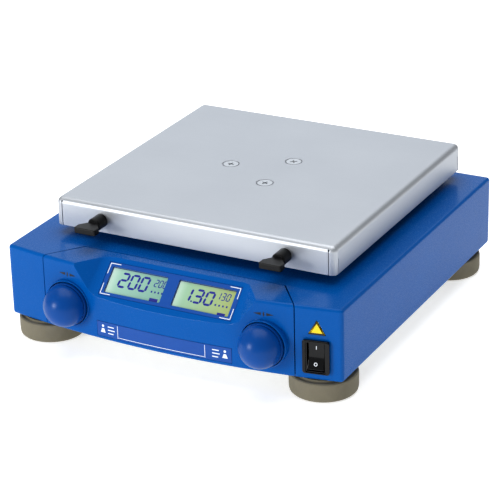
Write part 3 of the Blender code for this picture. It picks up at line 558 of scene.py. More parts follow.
def facing_rear(x, y, z):
    return at(x, y, z) @ Matrix.Rotation(-math.pi / 2, 4, "X")


ON_DISPLAY = at(0, POCKET_FRONT_Y, POCKET_BOTTOM_Z) @ Matrix.Rotation(DISPLAY_TILT, 4, "X")


def new_bowed(name, inset, low, high):
    """The case's own plan, inset all round: a front arc spun from a point, then the sides and rear."""
    half = CASE_HALF - inset
    start_y = front_y(half, inset)
    deselect()
    bpy.ops.mesh.primitive_plane_add(size=0.001)
    obj = bpy.context.active_object
    obj.name = name
    edit(obj, "VERT")
    select_everything()
    bpy.ops.mesh.merge(type="CENTER")
    select_everything()
    bpy.ops.transform.translate(value=(-half, start_y, low))
    swing = 2 * math.asin(half / (FRONT_RADIUS - inset))
    bpy.ops.mesh.spin(steps=ROUND_STEPS, angle=-swing, center=(0, FRONT_CENTRE_Y, low), axis=(0, 0, 1))
    push(y=CASE_REAR - inset - start_y)
    push(x=-2 * half)
    select_everything()
    bpy.ops.mesh.edge_face_add()
    select_everything()
    push(z=high - low)
    select_everything()
    bpy.ops.mesh.normals_make_consistent(inside=False)
    return done()


def new_bowed_slab(name, x_low, x_high, low, high, proud, deep):
    """A slab along the bowed front: an upright rectangle spun round the bow's centre."""
    obj = new_block(name, (-0.0005, -deep, low), (0.0005, proud, high))
    edit(obj)
    select(obj, lambda face: face.normal.x < 0.5)
    bpy.ops.mesh.delete(type="FACE")
    select_everything()
    bpy.ops.transform.translate(value=(-0.0005, 0, 0))
    start = math.asin(x_low / FRONT_RADIUS)
    swing = math.asin(x_high / FRONT_RADIUS) - start
    done()
    obj.data.transform(at(0, FRONT_CENTRE_Y, 0) @ Matrix.Rotation(start, 4, "Z")
                       @ at(0, -FRONT_RADIUS, 0) @ Matrix.Scale(-1, 4, (0, 1, 0)))
    edit(obj)
    select_everything()
    steps = max(1, round((x_high - x_low) / 0.004))
    bpy.ops.mesh.spin(steps=steps, angle=-swing, center=(0, FRONT_CENTRE_Y, 0), axis=(0, 0, 1))
    select_everything()
    bpy.ops.mesh.normals_make_consistent(inside=False)
    return done()


# -------- case


def new_case_blank(name):
    return soften(new_bowed(name, 0, CASE_LOW, CASE_TOP), CASE_ROUNDING, 4, 30)


def new_panel_block(name, spread):
    """The upright block that divides the front panel from the case, grown by spread."""
    half = PANEL_HALF + spread
    back_half = PANEL_BACK_HALF + spread
    obj = new_block(name, (-half, -0.15, CASE_LOW - WALL), (half, PANEL_FRONT_Y, CASE_TOP + WALL))
    edit(obj)
    select(obj, lambda face: face.normal.y > 0.5)
    push(y=PANEL_BACK_Y + spread - PANEL_FRONT_Y)
    shrink(back_half / half, about=(0, PANEL_BACK_Y, 0))
    return done()


def new_pocket(name, spread):
    """The room over the sloping display floor, between two cheeks that meet the floor in a round."""
    corner = Vector((POCKET_TOP_HALF, front_y(POCKET_TOP_HALF), CASE_TOP))
    foot = Vector((POCKET_BOTTOM_HALF, front_y(POCKET_BOTTOM_HALF), POCKET_BOTTOM_Z))
    back = Vector((POCKET_BOTTOM_HALF, POCKET_BACK_Y, CASE_TOP))
    cheek = (foot - corner).cross(back - corner).normalized()
    cheek = cheek if cheek.x > 0 else -cheek
    floor = Vector((0, math.sin(DISPLAY_TILT), -math.cos(DISPLAY_TILT)))
    start = Vector((0, POCKET_FRONT_Y, POCKET_BOTTOM_Z))
    obj = new_block(name, (-0.1, -0.15, 0.03), (0.1, -0.09, 0.09))
    edit(obj)
    for side in (-1, 0, 1):
        point, normal = (start, floor) if side == 0 else (
            Vector((side * corner.x, corner.y, corner.z)), Vector((side * cheek.x, cheek.y, cheek.z)))
        select_everything()
        bpy.ops.mesh.bisect(plane_co=point + normal * spread, plane_no=normal, use_fill=True,
                            clear_outer=True)

    def is_valley(edge):
        facings = [face.normal for face in edge.link_faces]
        on_floor = any((facing - floor).length < 0.01 for facing in facings)
        on_cheek = any(abs(facing.x) > 0.5 for facing in facings)
        return on_floor and on_cheek

    select(obj, is_valley, "EDGE")
    bevel(POCKET_ROUNDING, 8)
    return done()


def new_foil_block(name, grow, depths):
    low, high = FOIL_SPAN
    obj = new_block(name, (-FOIL_HALF - grow, low - grow, depths[0]),
                    (FOIL_HALF + grow, high + grow, depths[1]))
    obj.data.transform(ON_DISPLAY)
    return obj


def new_window_block(name, side, grow, depths):
    low, high = span(side, *WINDOW_X)
    obj = new_block(name, (low - grow, WINDOW_SPAN[0] - grow, depths[0]),
                    (high + grow, WINDOW_SPAN[1] + grow, depths[1]))
    round_corners(obj, WINDOW_ROUNDING, 3)
    obj.data.transform(ON_DISPLAY)
    return obj


def make_case():
    case = new_case_blank("case_cover")
    carve(case, new_bowed("hollow", WALL, CASE_LOW - WALL, CASE_TOP - WALL))
    drive_axis = at(0, DRIVE_Y, 0)
    inner, outer = OPENING_RADIUS - WALL, OPENING_RADIUS + WALL
    lip = new_turned("lip", [(inner, CASE_TOP - WALL / 2), (outer, CASE_TOP - WALL / 2),
                             (outer, CASE_TOP + LIP_FLAT), (OPENING_RADIUS + LIP_FLAT, CASE_TOP + WALL),
                             (inner, CASE_TOP + WALL)], closed=True)
    carve(case, moved(lip, drive_axis), operation="UNION")
    opening = new_turned("opening", [(OPENING_RADIUS, CASE_TOP - CLEAR), (OPENING_RADIUS, CASE_TOP + CLEAR)])
    carve(case, moved(opening, drive_axis))
    carve(case, new_panel_block("panel_gap", PANEL_GAP))
    switch_hole = new_centred("switch_hole", SWITCH_BODY, -CLEAR, CLEAR, 2 * GAP)
    inlet_hole = new_centred("inlet_hole", INLET_BODY, -CLEAR, CLEAR, GAP)
    carve(case, moved(switch_hole, on_front(SWITCH_X, SWITCH_Z)),
          moved(inlet_hole, facing_rear(INLET_X, CASE_REAR, INLET_Z)))
    settle(case, "case_cover", MOULDED_ABS, "root", nodes=["housing_shell"])


def make_panel():
    panel = new_case_blank("panel_cover")
    carve(panel, new_panel_block("panel_keep", -PANEL_SLIT), operation="INTERSECT")
    carve(panel, new_pocket("display_pocket", 0))
    edit(panel)

    def is_rim(edge):
        """A sharp edge of the pocket, where a tool's corner would be broken."""
        spot = middle_of(edge)
        inside = abs(spot.x) < POCKET_TOP_HALF + 0.002 and spot.z > POCKET_BOTTOM_Z - 0.001
        return inside and spot.y < PANEL_BACK_Y - 0.003 and edge.calc_face_angle(0) > 0.6

    select(panel, is_rim, "EDGE")
    bevel(RIM_ROUNDING, 4, clamp_overlap=True)
    done()
    hollow = new_bowed("panel_hollow", WALL, CASE_LOW - WALL, CASE_TOP - WALL)
    carve(hollow, new_pocket("pocket_backing", WALL))
    carve(panel, hollow, new_foil_block("foil_recess", GAP, (-FOIL_RECESS, 0.004)))
    bore_radius = COLLAR_RADIUS - COLLAR_OVERLAP
    for side in (-1, 1):
        carve(panel, new_window_block("window", side, WINDOW_ROUNDING, (-0.006, 0.002)))
        bore = new_turned("bore", [(bore_radius, 0.12), (bore_radius, 0.15)])
        carve(panel, moved(bore, facing_user(side * KNOB_X, 0, KNOB_Z)))
    carve(panel, new_bowed_slab("strip_recess", -STRIP_HALF - GAP, STRIP_HALF + GAP, STRIP_LOW - GAP,
                                STRIP_HIGH + GAP, 0.002, STRIP_RECESS))
    settle(panel, "panel_cover", MOULDED_ABS, "root", nodes=["front_panel"])


def make_collars():
    """The moulded ring and floor that each knob stands in."""
    back = -front_y(KNOB_X) - 0.0035
    front, floor = -COLLAR_FRONT_Y, -COLLAR_FLOOR_Y
    bore = SHAFT_RADIUS + SHAFT_CLEARANCE
    profile = [(bore, back), (COLLAR_RADIUS, back), (COLLAR_RADIUS, front - 0.0004),
               (COLLAR_RADIUS - 0.0003, front), (COLLAR_BORE + 0.0002, front), (COLLAR_BORE, front - 0.0003),
               (COLLAR_BORE, floor), (bore, floor)]
    for side, word in SIDES:
        collar = new_turned("collar", profile, closed=True)
        settle(collar, "knob_collar_" + word, MOULDED_ABS, "root",
               facing_user(side * KNOB_X, 0, KNOB_Z))


# -------- knobs


def make_knobs():
    """A dome over a narrow groove and a skirt, hollow at the back round the shaft."""
    skirt, groove = KNOB_SKIRT_RADIUS, KNOB_RADIUS - 0.0007
    profile = [(0.0045, -0.0030), (0.0145, -0.0030), (0.0147, -0.0040), (skirt - 0.0003, -0.0040),
               (skirt, -0.0037), (skirt, -0.0015), (skirt - 0.0002, -0.0013),
               (groove, -0.0012), (groove, -0.0005), (KNOB_RADIUS - 0.0001, -0.0004)]
    dome = [math.radians(90 * step / 18) for step in range(18)]
    profile += [(KNOB_RADIUS * math.cos(angle), KNOB_RADIUS * math.sin(angle)) for angle in dome]
    profile += [(0.0002, KNOB_RADIUS)]
    bore_radius = SHAFT_RADIUS + GAP
    for side, word in SIDES:
        knob = new_turned("knob", profile)
        carve(knob, new_turned("bore", [(bore_radius, -CLEAR), (bore_radius, 0.009)], 24))
        settle(knob, "knob_cap_" + word, KNOB_ABS, "dial_" + word,
               facing_user(side * KNOB_X, KNOB_CENTRE_Y, KNOB_Z), nodes=["knob_" + word])


# -------- display

# The seven bars of a digit, as (across, up, upright) in units of half its width and height.
BARS = {"a": (0, 2, False), "b": (1, 1, True), "c": (1, -1, True), "d": (0, -2, False),
        "e": (-1, -1, True), "f": (-1, 1, True), "g": (0, 0, False)}
DIGITS = {"0": "abcdef", "1": "bc", "2": "abged", "3": "abgcd"}
LEAN = math.radians(6)


def new_bar(length, width):
    """One display bar: a block whose two ends are drawn out to blunt points."""
    bar = new_centred("bar", (length - width, width), 0, INK)
    edit(bar)
    for end in (-1, 1):
        select(bar, lambda face: face.normal.x * end > 0.5)
        push(x=end * width / 2)
        shrink(y=0.15, about=(0, 0, 0))
    return done()


def new_number(text, left, low, digit_width, digit_height, stroke, pitch):
    """The bars of a row of digits, leaning a little, from this left foot."""
    long_bar = new_bar(digit_height / 2 - stroke / 4, stroke)
    cross_bar = new_bar(digit_width - stroke / 4, stroke)
    shear = Matrix(((1, math.tan(LEAN), 0, 0), (0, 1, 0, 0), (0, 0, 1, 0), (0, 0, 0, 1)))
    pieces = []
    for place, character in enumerate(text):
        origin = at(left + place * pitch + digit_width / 2, low + digit_height / 2, 0)
        for bar in DIGITS[character]:
            across, up, upright = BARS[bar]
            spot = at(across * digit_width / 2, up * digit_height / 4, 0)
            turn = Matrix.Rotation(math.pi / 2, 4, "Z") if upright else Matrix()
            pattern = long_bar if upright else cross_bar
            pieces.append(add_copy(pattern, "bar", origin @ shear @ spot @ turn))
    bpy.data.objects.remove(long_bar)
    bpy.data.objects.remove(cross_bar)
    return pieces


def new_mark(low, high, height=INK):
    return new_block("mark", (*low, 0), (*high, height))


def new_readout_and_shadow(word, side):
    """What one display shows: a large and a small number and a few service marks, with a painted shadow along
    the window's top and left edges.
    """
    if side < 0:
        marks = new_number("200", -0.0412, 0.0143, 0.0056, 0.0104, 0.0017, 0.0084)
        marks += new_number("200", -0.0136, 0.0195, 0.0023, 0.0052, 0.0007, 0.0036)
        dots_x, dots_y, dot_pitch = -0.0146, 0.0146, 0.0028
        plate = new_mark((-0.0137, 0.0082), (-0.0069, 0.0106), FINE_INK)
    else:
        marks = new_number("1", 0.0124, 0.0139, 0.0042, 0.0096, 0.0017, 0.0)
        marks += new_number("30", 0.0200, 0.0139, 0.0055, 0.0096, 0.0017, 0.0085)
        marks += [new_mark((0.0178, 0.0136), (0.0190, 0.0148))]
        marks += new_number("130", 0.0366, 0.0195, 0.0023, 0.0052, 0.0007, 0.0038)
        dots_x, dots_y, dot_pitch = 0.0368, 0.0144, 0.0030
        plate = new_mark((0.0409, 0.0076), (0.0472, 0.0100), FINE_INK)
    for number in range(4):
        x = dots_x + number * dot_pitch
        marks.append(new_mark((x, dots_y), (x + 0.0012, dots_y + 0.0014)))
    left, right = span(side, *WINDOW_X)
    low, high = WINDOW_SPAN
    # Painted shadow: two thin strips of the segment ink along the window's top and left edges, where the
    # foil's edge shades the glass.
    marks.append(new_mark((left, high - 0.0005), (right, high)))
    marks.append(new_mark((left, low), (left + 0.0005, high - 0.0006)))
    edit(plate)
    select(plate, lambda face: face.normal.z > 0.5)
    bpy.ops.mesh.inset(thickness=0.0004)
    push(z=0.00002)
    done()
    return joined("readout_" + word, marks + [plate])


def make_display():
    foil = new_foil_block("foil", 0, (-FOIL_THICKNESS, 0))
    for side, word in SIDES:
        carve(foil, new_window_block("window", side, 0, (-0.002, 0.002)))
        glass = new_window_block("glass", side, 0.0004, (-LCD_DEPTH - LCD_THICKNESS, -LCD_DEPTH))
        settle(glass, "lcd_glass_" + word, LCD_GLASS[word], "root", nodes=["lcd_" + word])
        readout = new_readout_and_shadow(word, side)
        settle(readout, "lcd_readout_and_shadow_" + word, SEGMENT_INK, "root",
               ON_DISPLAY @ at(0, 0, -LCD_DEPTH))
    settle(foil, "foil_face", POLYESTER_FOIL, "root", nodes=["display_foil"])


def make_foil_corners():
    """A bracket with a rounded elbow in each corner of the foil."""
    corners = []
    reach, line, inset = 0.0085, 0.0006, 0.0007
    for x_side in (-1, 1):
        for y_side, edge_y in zip((-1, 1), FOIL_SPAN):
            bracket = new_block("bracket", (0, -line, 0), (line, 0, FINE_INK))
            edit(bracket)
            select(bracket, lambda face: face.normal.x > 0.5)
            push(x=reach - line)
            select(bracket, lambda face: face.normal.y < -0.5 and face.calc_center_median().x < line)
            push(y=line - reach)
            select(bracket, lambda edge: all(v.co.xy.length < WELD for v in edge.verts), "EDGE")
            bevel(0.0005, 3)
            done()
            corner = at(x_side * (FOIL_HALF - inset), edge_y - y_side * inset, 0)
            corners.append(moved(bracket, corner @ Matrix.Diagonal((-x_side, y_side, 1, 1))))
    settle(joined("foil_corners", corners), "foil_corner_marks", WHITE_INK, "root", ON_DISPLAY)


# -------- label strip


def make_strip():
    """A foil strip along the bow, printed with a frame for notes between two pictograms."""
    strip = new_bowed_slab("strip", -STRIP_HALF, STRIP_HALF, STRIP_LOW, STRIP_HIGH, STRIP_PROUD, GAP)
    settle(strip, "strip_foil", POLYESTER_FOIL, "root", nodes=["label_strip"])
    ink_top = 0.00014
    root = -STRIP_PROUD
    prints = [new_bowed_slab("line", -0.0365, 0.0335, STRIP_LOW + 0.0012, STRIP_LOW + 0.0016, ink_top, 0.0)]
    for x in (-0.0370, 0.0340):
        prints.append(new_bowed_slab("line", x - 0.0002, x + 0.0002, STRIP_LOW + 0.0008,
                                     STRIP_HIGH - 0.0008, ink_top, 0.0))
    middle_z = (STRIP_LOW + STRIP_HIGH) / 2
    for side in (-1, 1):
        figure = on_front(side * 0.0495, middle_z, STRIP_PROUD)
        body = new_block("body", (-0.0021, -0.0026, root), (0.0021, 0.0006, FINE_INK))
        edit(body)
        select(body, lambda face: face.normal.y > 0.5)
        shrink(x=0.45)
        done()
        prints.append(moved(body, figure))
        head = new_turned("head", [(0.0010, root), (0.0010, FINE_INK)], 20)
        prints.append(moved(head, figure @ at(0, 0.0026, 0)))
        rows = on_front(side * 0.0425 - 0.0028, middle_z, STRIP_PROUD)
        for y, width in ((0.0026, 0.0052), (0, 0.0058), (-0.0026, 0.0046)):
            bar = new_block("bar", (0, y - 0.0004, root), (width, y + 0.0004, FINE_INK))
            prints.append(moved(bar, rows))
    settle(joined("strip_print", prints), "strip_print", WHITE_INK, "root")


def make_turn_icons():
    """Above each knob, a slim pointer between two arrow heads that taper away from it."""
    root = -0.0002
    for side, word in SIDES:
        pointer = new_turned("pointer", [(0.0007, root), (0.0007, INK)], 24)
        marks = [moved(pointer, Matrix.Diagonal((0.8, 2.6, 1, 1)))]
        for way in (-1, 1):
            head = new_block("head", (0.0020, -0.0011, root), (0.0022, 0.0011, INK))
            edit(head)
            select(head, lambda face: face.normal.x > 0.5)
            push(x=0.0050)
            shrink(y=0.08)
            done()
            marks.append(moved(head, Matrix.Diagonal((way, 1, 1, 1))))
        settle(joined("icon", marks), "turn_icon_" + word, BLACK_INK, "root",
               on_front(side * KNOB_X, 0.0618))


# -------- mains switch and hazard triangle


def make_switch():
    """A black frame with a rounded rim, the opening under its rocker, and two blades behind it."""
    switch = new_centred("switch", SWITCH_BEZEL, GAP, SWITCH_PROUD)
    round_corners(switch, 0.0020, 5)
    soften(switch, 0.0009, 4)
    recess = new_centred("recess", SWITCH_RECESS, 0.0020, CLEAR)
    round_corners(recess, 0.0012, 4)
    carve(switch, new_centred("barrel", SWITCH_BODY, -0.020, 0.0015), operation="UNION")
    carve(switch, recess, new_centred("opening", SWITCH_OPENING, -0.012, CLEAR))
    place = on_front(SWITCH_X, SWITCH_Z)
    for side, word in SIDES:
        x = side * BLADE_X
        blade = new_block("blade", (x - 0.0004, -0.006, -0.0240), (x + 0.0004, 0.006, -0.0195))
        soften(blade, 0.0003, 2)
        settle(blade, "switch_blade_" + word, NICKEL_BRASS, "root", place)
    settle(switch, "switch_frame", GLOSSY_BLACK, "root", place, nodes=["switch_body"])


# How half of the rocker grows: to this y, with this underside and this share of the full rise.
ROCKER_STEPS = ((0.0085, -0.0035, 0.87), (ROCKER_HALF, -0.0010, 1.0))
MARK_HEIGHT = 0.0024
BAR_Y = 0.0065
RING_Y = -0.0062


def make_rocker():
    """The rocker drawn out from its middle step by step and mirrored, with a raised bar and ring on it."""
    lift = math.tan(ROCKER_TILT) * ROCKER_HALF
    half = ROCKER_WIDTH / 2
    rocker = new_block("rocker", (-half, 0, -0.0055), (half, 0.003, ROCKER_MIDDLE))
    edit(rocker)
    for y, low, share in ROCKER_STEPS:
        select(rocker, lambda face: face.normal.y > 0.5)
        bm = bmesh.from_edit_mesh(rocker.data)
        push(y=y - max(v.co.y for v in bm.verts))
        bm = bmesh.from_edit_mesh(rocker.data)
        end = [v for v in bm.verts if v.select]
        level = sum(v.co.z for v in end) / len(end)
        for vert in end:
            vert.co.z = low if vert.co.z < level else ROCKER_MIDDLE + lift * share
        bmesh.update_edit_mesh(rocker.data)
    select(rocker, lambda face: face.normal.y < -0.5 and abs(face.calc_center_median().y) < 1e-5)
    bpy.ops.mesh.delete(type="FACE")
    done()
    apply_modifier(rocker, "MIRROR", use_axis=(False, True, False), merge_threshold=0.00002)
    soften(rocker, 0.0005, 3, 25)

    bar = new_block("bar", (-0.0003, 0.0052, 0), (0.0003, 0.0078, MARK_HEIGHT))
    edit(bar)
    select(bar, lambda face: face.normal.z > 0.5)
    bevel(0.0001, 2)
    done()
    ring = [(0.0008, 0), (0.0013, 0), (0.0013, MARK_HEIGHT), (0.0008, MARK_HEIGHT)]
    ring = new_turned("ring", ring, 32, closed=True)
    moved(ring, at(0, RING_Y, 0))
    slope = math.atan2(lift, ROCKER_HALF)
    for mark, y, turn in ((bar, BAR_Y, slope), (ring, RING_Y, -slope)):
        top = ROCKER_MIDDLE + lift * abs(y) / ROCKER_HALF + FINE_INK
        centre = at(0, y, top - MARK_HEIGHT)
        moved(mark, centre @ Matrix.Rotation(turn, 4, "X") @ at(0, -y, 0))
    pivot = at(0, 0, -ROCKER_PIVOT_DEPTH)
    place = on_front(SWITCH_X, SWITCH_Z) @ pivot @ Matrix.Rotation(-ROCKER_TILT, 4, "X") @ pivot.inverted()
    settle(rocker, "rocker_cap", GLOSSY_BLACK, "rocker", place, nodes=["switch_rocker"])
    settle(joined("rocker_marks", [bar, ring]), "rocker_marks", WHITE_INK, "rocker", place)


def make_hazard_triangle():
    """A plain yellow triangle of vinyl with a black border and no sign on it."""
    deselect()
    bpy.ops.mesh.primitive_circle_add(vertices=3, radius=0.0075, fill_type="NGON")
    triangle = bpy.context.active_object
    edit(triangle)
    select_everything()
    push(z=0.00008)
    select(triangle, is_upright, "EDGE")
    bevel(0.0007, 4)
    select(triangle, lambda face: face.normal.z > 0.9)
    bpy.ops.mesh.inset(thickness=0.0014)
    push(z=0.00002)
    done()
    triangle.data.materials.append(BLACK_INK)
    triangle.data.materials.append(YELLOW_VINYL)
    field = max(triangle.data.polygons, key=lambda face: face.center.z)
    field.material_index = 1
    place = on_front(0.1170, 0.0550, 0.00002)
    settle(triangle, "hazard_triangle", None, "root", place, 50)


# -------- platform


def make_platform():
    """Sheet folded down on four sides, with a narrow slit between each fold and its rounded corner."""
    half_width, half_depth = TRAY_WIDTH / 2, TRAY_DEPTH / 2
    tray = new_block("tray", (-half_width, -half_depth, TRAY_LOW), (half_width, half_depth, TRAY_TOP))
    edit(tray)
    select(tray, lambda face: face.normal.z < -0.5)
    bpy.ops.mesh.delete(type="ONLY_FACE")
    select(tray, lambda edge: is_upright(edge) and not edge.is_boundary, "EDGE")
    bevel(TRAY_ROUNDING, 8)
    rim_z = TRAY_TOP - 0.0001
    select(tray, lambda edge: middle_of(edge).z > rim_z and not edge.is_boundary, "EDGE")
    bevel(TRAY_ROUNDING * 0.97, 8)
    done()
    apply_modifier(tray, "SOLIDIFY", thickness=TRAY_SHEET, offset=-1, use_even_offset=True)
    seam, slit, notch_half, outside = 0.0053, 0.0003, 0.0007, 0.001
    low = TRAY_LOW - outside
    for x_side in (-1, 1):
        for y_side in (-1, 1):
            x, y = x_side * (half_width - seam), y_side * (half_depth - seam)
            low_x, high_x = span(x_side, half_width - 0.0024, half_width + outside)
            low_y, high_y = span(y_side, half_depth - 0.0024, half_depth + outside)
            front = new_block("slit", (x - slit, low_y, low), (x + slit, high_y, TRAY_TOP - 0.0030))
            flank = new_block("slit", (low_x, y - slit, low), (high_x, y + slit, TRAY_TOP - 0.0095))
            low_y, high_y = span(y_side, half_depth - 0.0044, half_depth + outside)
            notch = new_block("notch", (x - notch_half, low_y, TRAY_TOP - 0.0034),
                              (x + notch_half, high_y, TRAY_TOP - 0.0021))
            carve(tray, front, flank, notch)
    moved(tray, at(0, PLATFORM_Y, 0))
    seat_radius = SCREW_HEAD_RADIUS + 0.0008
    for angle in SCREW_ANGLES:
        seat = new_turned("seat", [(0.0030, TRAY_TOP - 0.004), (0.0030, TRAY_TOP - 0.0034),
                                   (seat_radius, TRAY_TOP - 0.0003), (seat_radius, TRAY_TOP + outside)], 48)
        carve(tray, moved(seat, screw_place(angle)))
    for side in (-1, 1):
        hole = new_turned("hole", [(0.0032, -0.004), (0.0032, 0.004)], 32)
        carve(tray, moved(hole, facing_user(side * LOCK_X, TRAY_FRONT, LOCK_Z)))
    settle(tray, "tray_sheet", ANODISED_SHEET, "table", nodes=["platform_tray"])


def screw_place(angle):
    x, y = SCREW_CIRCLE * math.cos(math.radians(angle)), SCREW_CIRCLE * math.sin(math.radians(angle))
    return at(x, PLATFORM_Y + y, 0)


def new_cross_recess(top, reach, width, depth):
    """The tapered cross that a driver fits."""
    arms = []
    for turn in (0, 90):
        arm = new_block("arm", (-reach, -width / 2, top - depth), (reach, width / 2, top + 0.0005))
        edit(arm)
        select(arm, lambda face: face.normal.z < -0.5)
        shrink(x=0.35)
        done()
        arms.append(moved(arm, Matrix.Rotation(math.radians(turn), 4, "Z")))
    return arms


def make_platform_screws():
    top = TRAY_TOP - 0.0001
    for number, angle in enumerate(SCREW_ANGLES, 1):
        screw = new_turned("screw", [(0.0022, 0.0850), (SCREW_RADIUS, 0.0853),
                                     (SCREW_RADIUS, TRAY_TOP - 0.0036),
                                     (SCREW_HEAD_RADIUS, top - 0.0003), (SCREW_HEAD_RADIUS - 0.0002, top),
                                     (0.0035, top)])
        carve(screw, *new_cross_recess(top, 0.0031, 0.0011, 0.0022))
        turn = Matrix.Rotation(math.radians(20 + 50 * number), 4, "Z")
        settle(screw, f"tray_screw_{number}", STAINLESS, "table", screw_place(angle) @ turn,
               nodes=[f"platform_screw_{number}"])


def make_locks():
    """A round hub with a flat paddle that widens away from the platform, its edges well rounded."""
    neck_z, waist_z, wide_z = 0.006, 0.012, 0.018
    for side, word in SIDES:
        hub = new_turned("hub", [(LOCK_HUB_RADIUS, GAP), (LOCK_HUB_RADIUS, 0.0102), (0.0049, 0.0107),
                                 (0.0044, 0.0110)], 48)
        paddle = new_block("paddle", (-LOCK_WAIST_HALF, -LOCK_PADDLE_HALF, neck_z),
                           (LOCK_WAIST_HALF, LOCK_PADDLE_HALF, waist_z))
        edit(paddle)
        select(paddle, lambda face: face.normal.z > 0.5)
        push(z=wide_z - waist_z)
        shrink(x=LOCK_HALF / LOCK_WAIST_HALF)
        push(z=LOCK_REACH - wide_z)
        select(paddle, lambda edge: abs(edge.verts[0].co.y - edge.verts[1].co.y) > 0.001
               and middle_of(edge).z > LOCK_REACH - 0.001, "EDGE")
        bevel(0.0015, 4)
        done()
        soften(paddle, 0.0007, 3, 50)
        carve(hub, paddle, operation="UNION")
        carve(hub, new_turned("bore", [(0.0031, -0.002), (0.0031, 0.0070)], 24))
        settle(hub, "wing_knob_" + word, BLACK_NYLON, "lock_" + word,
               facing_user(side * LOCK_X, TRAY_FRONT, LOCK_Z), nodes=["lock_knob_" + word])


# -------- feet, inlet and screws


def make_feet():
    """Round rubber pads, hollow under a screw's head, with a neck under the case."""
    neck, top = FOOT_NECK_RADIUS, CASE_LOW - GAP
    profile = [(0.0065, 0.0005), (0.0070, 0), (0.02165, 0), (0.0232, 0.0004), (0.0242, 0.0014),
               (0.02455, 0.003), (FOOT_RADIUS, 0.0045), (FOOT_RADIUS, 0.0132), (0.0244, 0.0141),
               (0.0236, 0.0147), (neck + 0.0004, 0.0147), (neck, 0.0150), (neck, top), (0.0030, top),
               (0.0030, 0.006), (0.0065, 0.006)]
    for row, y in FOOT_ROWS.items():
        for side, word in SIDES:
            foot = new_turned("foot", profile, closed=True)
            settle(foot, f"foot_pad_{row}_{word}", MOULDED_RUBBER, "root",
                   at(side * FOOT_X, y, 0), nodes=[f"foot_{row}_{word}"])


def make_inlet():
    """The mains inlet: a flange with two screws, a shrouded socket with two broken corners, three pins."""
    rear = facing_rear(INLET_X, CASE_REAR, INLET_Z)
    inlet = new_centred("inlet", INLET_FLANGE, GAP, INLET_PROUD)
    round_corners(inlet, 0.0035, 6)
    edit(inlet)
    select(inlet, lambda face: face.normal.z > 0.9)
    bevel(0.0004, 2)
    done()
    carve(inlet, new_centred("barrel", INLET_BODY, -0.020, INLET_PROUD / 2), operation="UNION")
    cavity = new_centred("cavity", INLET_CAVITY, -0.0155, CLEAR)
    edit(cavity)
    select(cavity, lambda edge: is_upright(edge) and middle_of(edge).y < 0, "EDGE")
    bevel(0.0052, 1)
    done()
    carve(inlet, cavity)
    for side in (-1, 1):
        seat = new_turned("seat", [(0.0018, -CLEAR), (0.0018, 0.0009), (0.0033, 0.0016), (0.0033, CLEAR)], 32)
        carve(inlet, moved(seat, at(side * INLET_SCREW_X, 0, 0)))
    settle(inlet, "inlet_shell", BLACK_NYLON, "root", rear, nodes=["mains_inlet"])
    pins = []
    for x, y in INLET_PIN_PLACES:
        pin = new_centred("pin", INLET_PIN, -0.0160, -0.0030)
        edit(pin)
        select(pin, lambda face: face.normal.z > 0.5)
        bevel(0.0006, 3)
        done()
        pins.append(moved(pin, at(x, y, 0)))
    settle(joined("pins", pins), "inlet_pins", NICKEL_BRASS, "root", rear)
    for side, word in SIDES:
        screw = new_turned("screw", [(0.0014, -0.006), (0.0016, -0.0058), (0.0016, 0.0008),
                                     (0.0029, 0.0014), (0.0029, 0.0019), (0.0024, 0.0021)], 40)
        carve(screw, *new_cross_recess(0.0021, 0.0016, 0.0006, 0.0010))
        settle(screw, "inlet_screw_" + word, ZINC_SHEET, "root",
               rear @ at(side * INLET_SCREW_X, 0, 0))


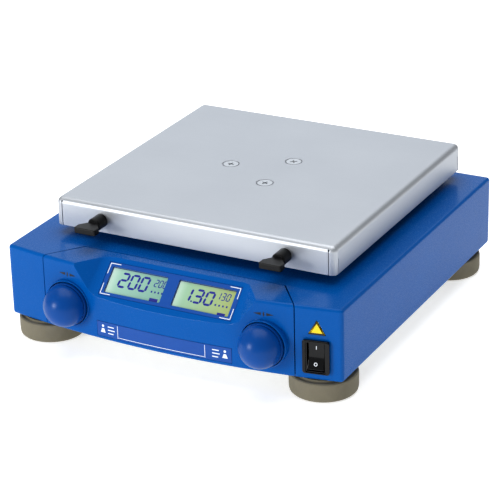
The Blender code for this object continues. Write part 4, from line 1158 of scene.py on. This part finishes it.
def make_base_screws():
    """Six pan-head screws that hold the base plate to the case's bosses."""
    head_down = Matrix.Scale(-1, 4, (0, 0, 1)) @ at(0, 0, -0.0148)
    for side, word in SIDES:
        for row, y in enumerate(BOSS_ROWS, 1):
            screw = new_turned("screw", [(0.0024, 0.0147), (0.0032, 0.0150), (0.0036, 0.0158),
                                         (0.0036, 0.0168), (0.0016, 0.0168), (0.0016, 0.0285),
                                         (0.0012, 0.0290)], 32)
            carve(screw, *[moved(arm, head_down) for arm in new_cross_recess(0, 0.0019, 0.0008, 0.0012)])
            settle(screw, f"base_screw_{word}_{row}", ZINC_SHEET, "root",
                   at(side * BOSS_X, y, 0))


def smooth_copy(node, name, material, body):
    """A CAD solid whose shape is right, as one welded mesh with smooth rounds."""
    copy = add_copy(frame["nodes"][node], name)
    copy.parent = None
    for key in [key for key in copy.keys() if key.startswith("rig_")]:
        del copy[key]
    settle(copy, name, material, body, nodes=[node])


FINISH_OF_SLOT = {
    "housing_blue": MOULDED_ABS, "knob_blue": KNOB_ABS, "foil_blue": POLYESTER_FOIL,
    "lcd_glass": LCD_GLASS["left"], "foot_rubber": MOULDED_RUBBER, "black_plastic": BLACK_NYLON,
    "black_paint": BLACK_ENAMEL, "brushed_tray": ANODISED_SHEET, "bright_steel": STAINLESS,
    "zinc_steel": ZINC_SHEET, "cast_aluminium": CAST_ALUMINIUM, "belt_rubber": NEOPRENE,
    "circuit_board": SOLDER_RESIST,
}


def dress_solids():
    """Gives every solid that stays on show the finish of its slot in the record."""
    slots = {entry["node"]: entry["material_slot"] for entry in frame["record"]["subparts"]}
    for name, obj in frame["nodes"].items():
        obj.data.materials.clear()
        obj.data.materials.append(FINISH_OF_SLOT[slots[name]])


def make_floor():
    deselect()
    bpy.ops.mesh.primitive_plane_add(size=8)
    floor = bpy.context.active_object
    floor.name = "floor"
    # White card: matt, and lit from within so that it stays as white as the backdrop.
    material, _, shader, _ = new_finish("matt_white_card", 0.9)
    shader.inputs["Base Color"].default_value = srgb("FAFAFA")
    shader.inputs["Emission Color"].default_value = srgb("FFFFFF")
    shader.inputs["Emission Strength"].default_value = 0.45
    floor.data.materials.append(material)


set_camera()
set_studio()
make_floor()
dress_solids()
make_case()
make_panel()
make_collars()
make_knobs()
make_display()
make_foil_corners()
make_strip()
make_turn_icons()
make_switch()
make_rocker()
make_hazard_triangle()
make_platform()
make_platform_screws()
make_locks()
make_feet()
make_inlet()
make_base_screws()
smooth_copy("table_hub", "hub_casting", CAST_ALUMINIUM, "table")
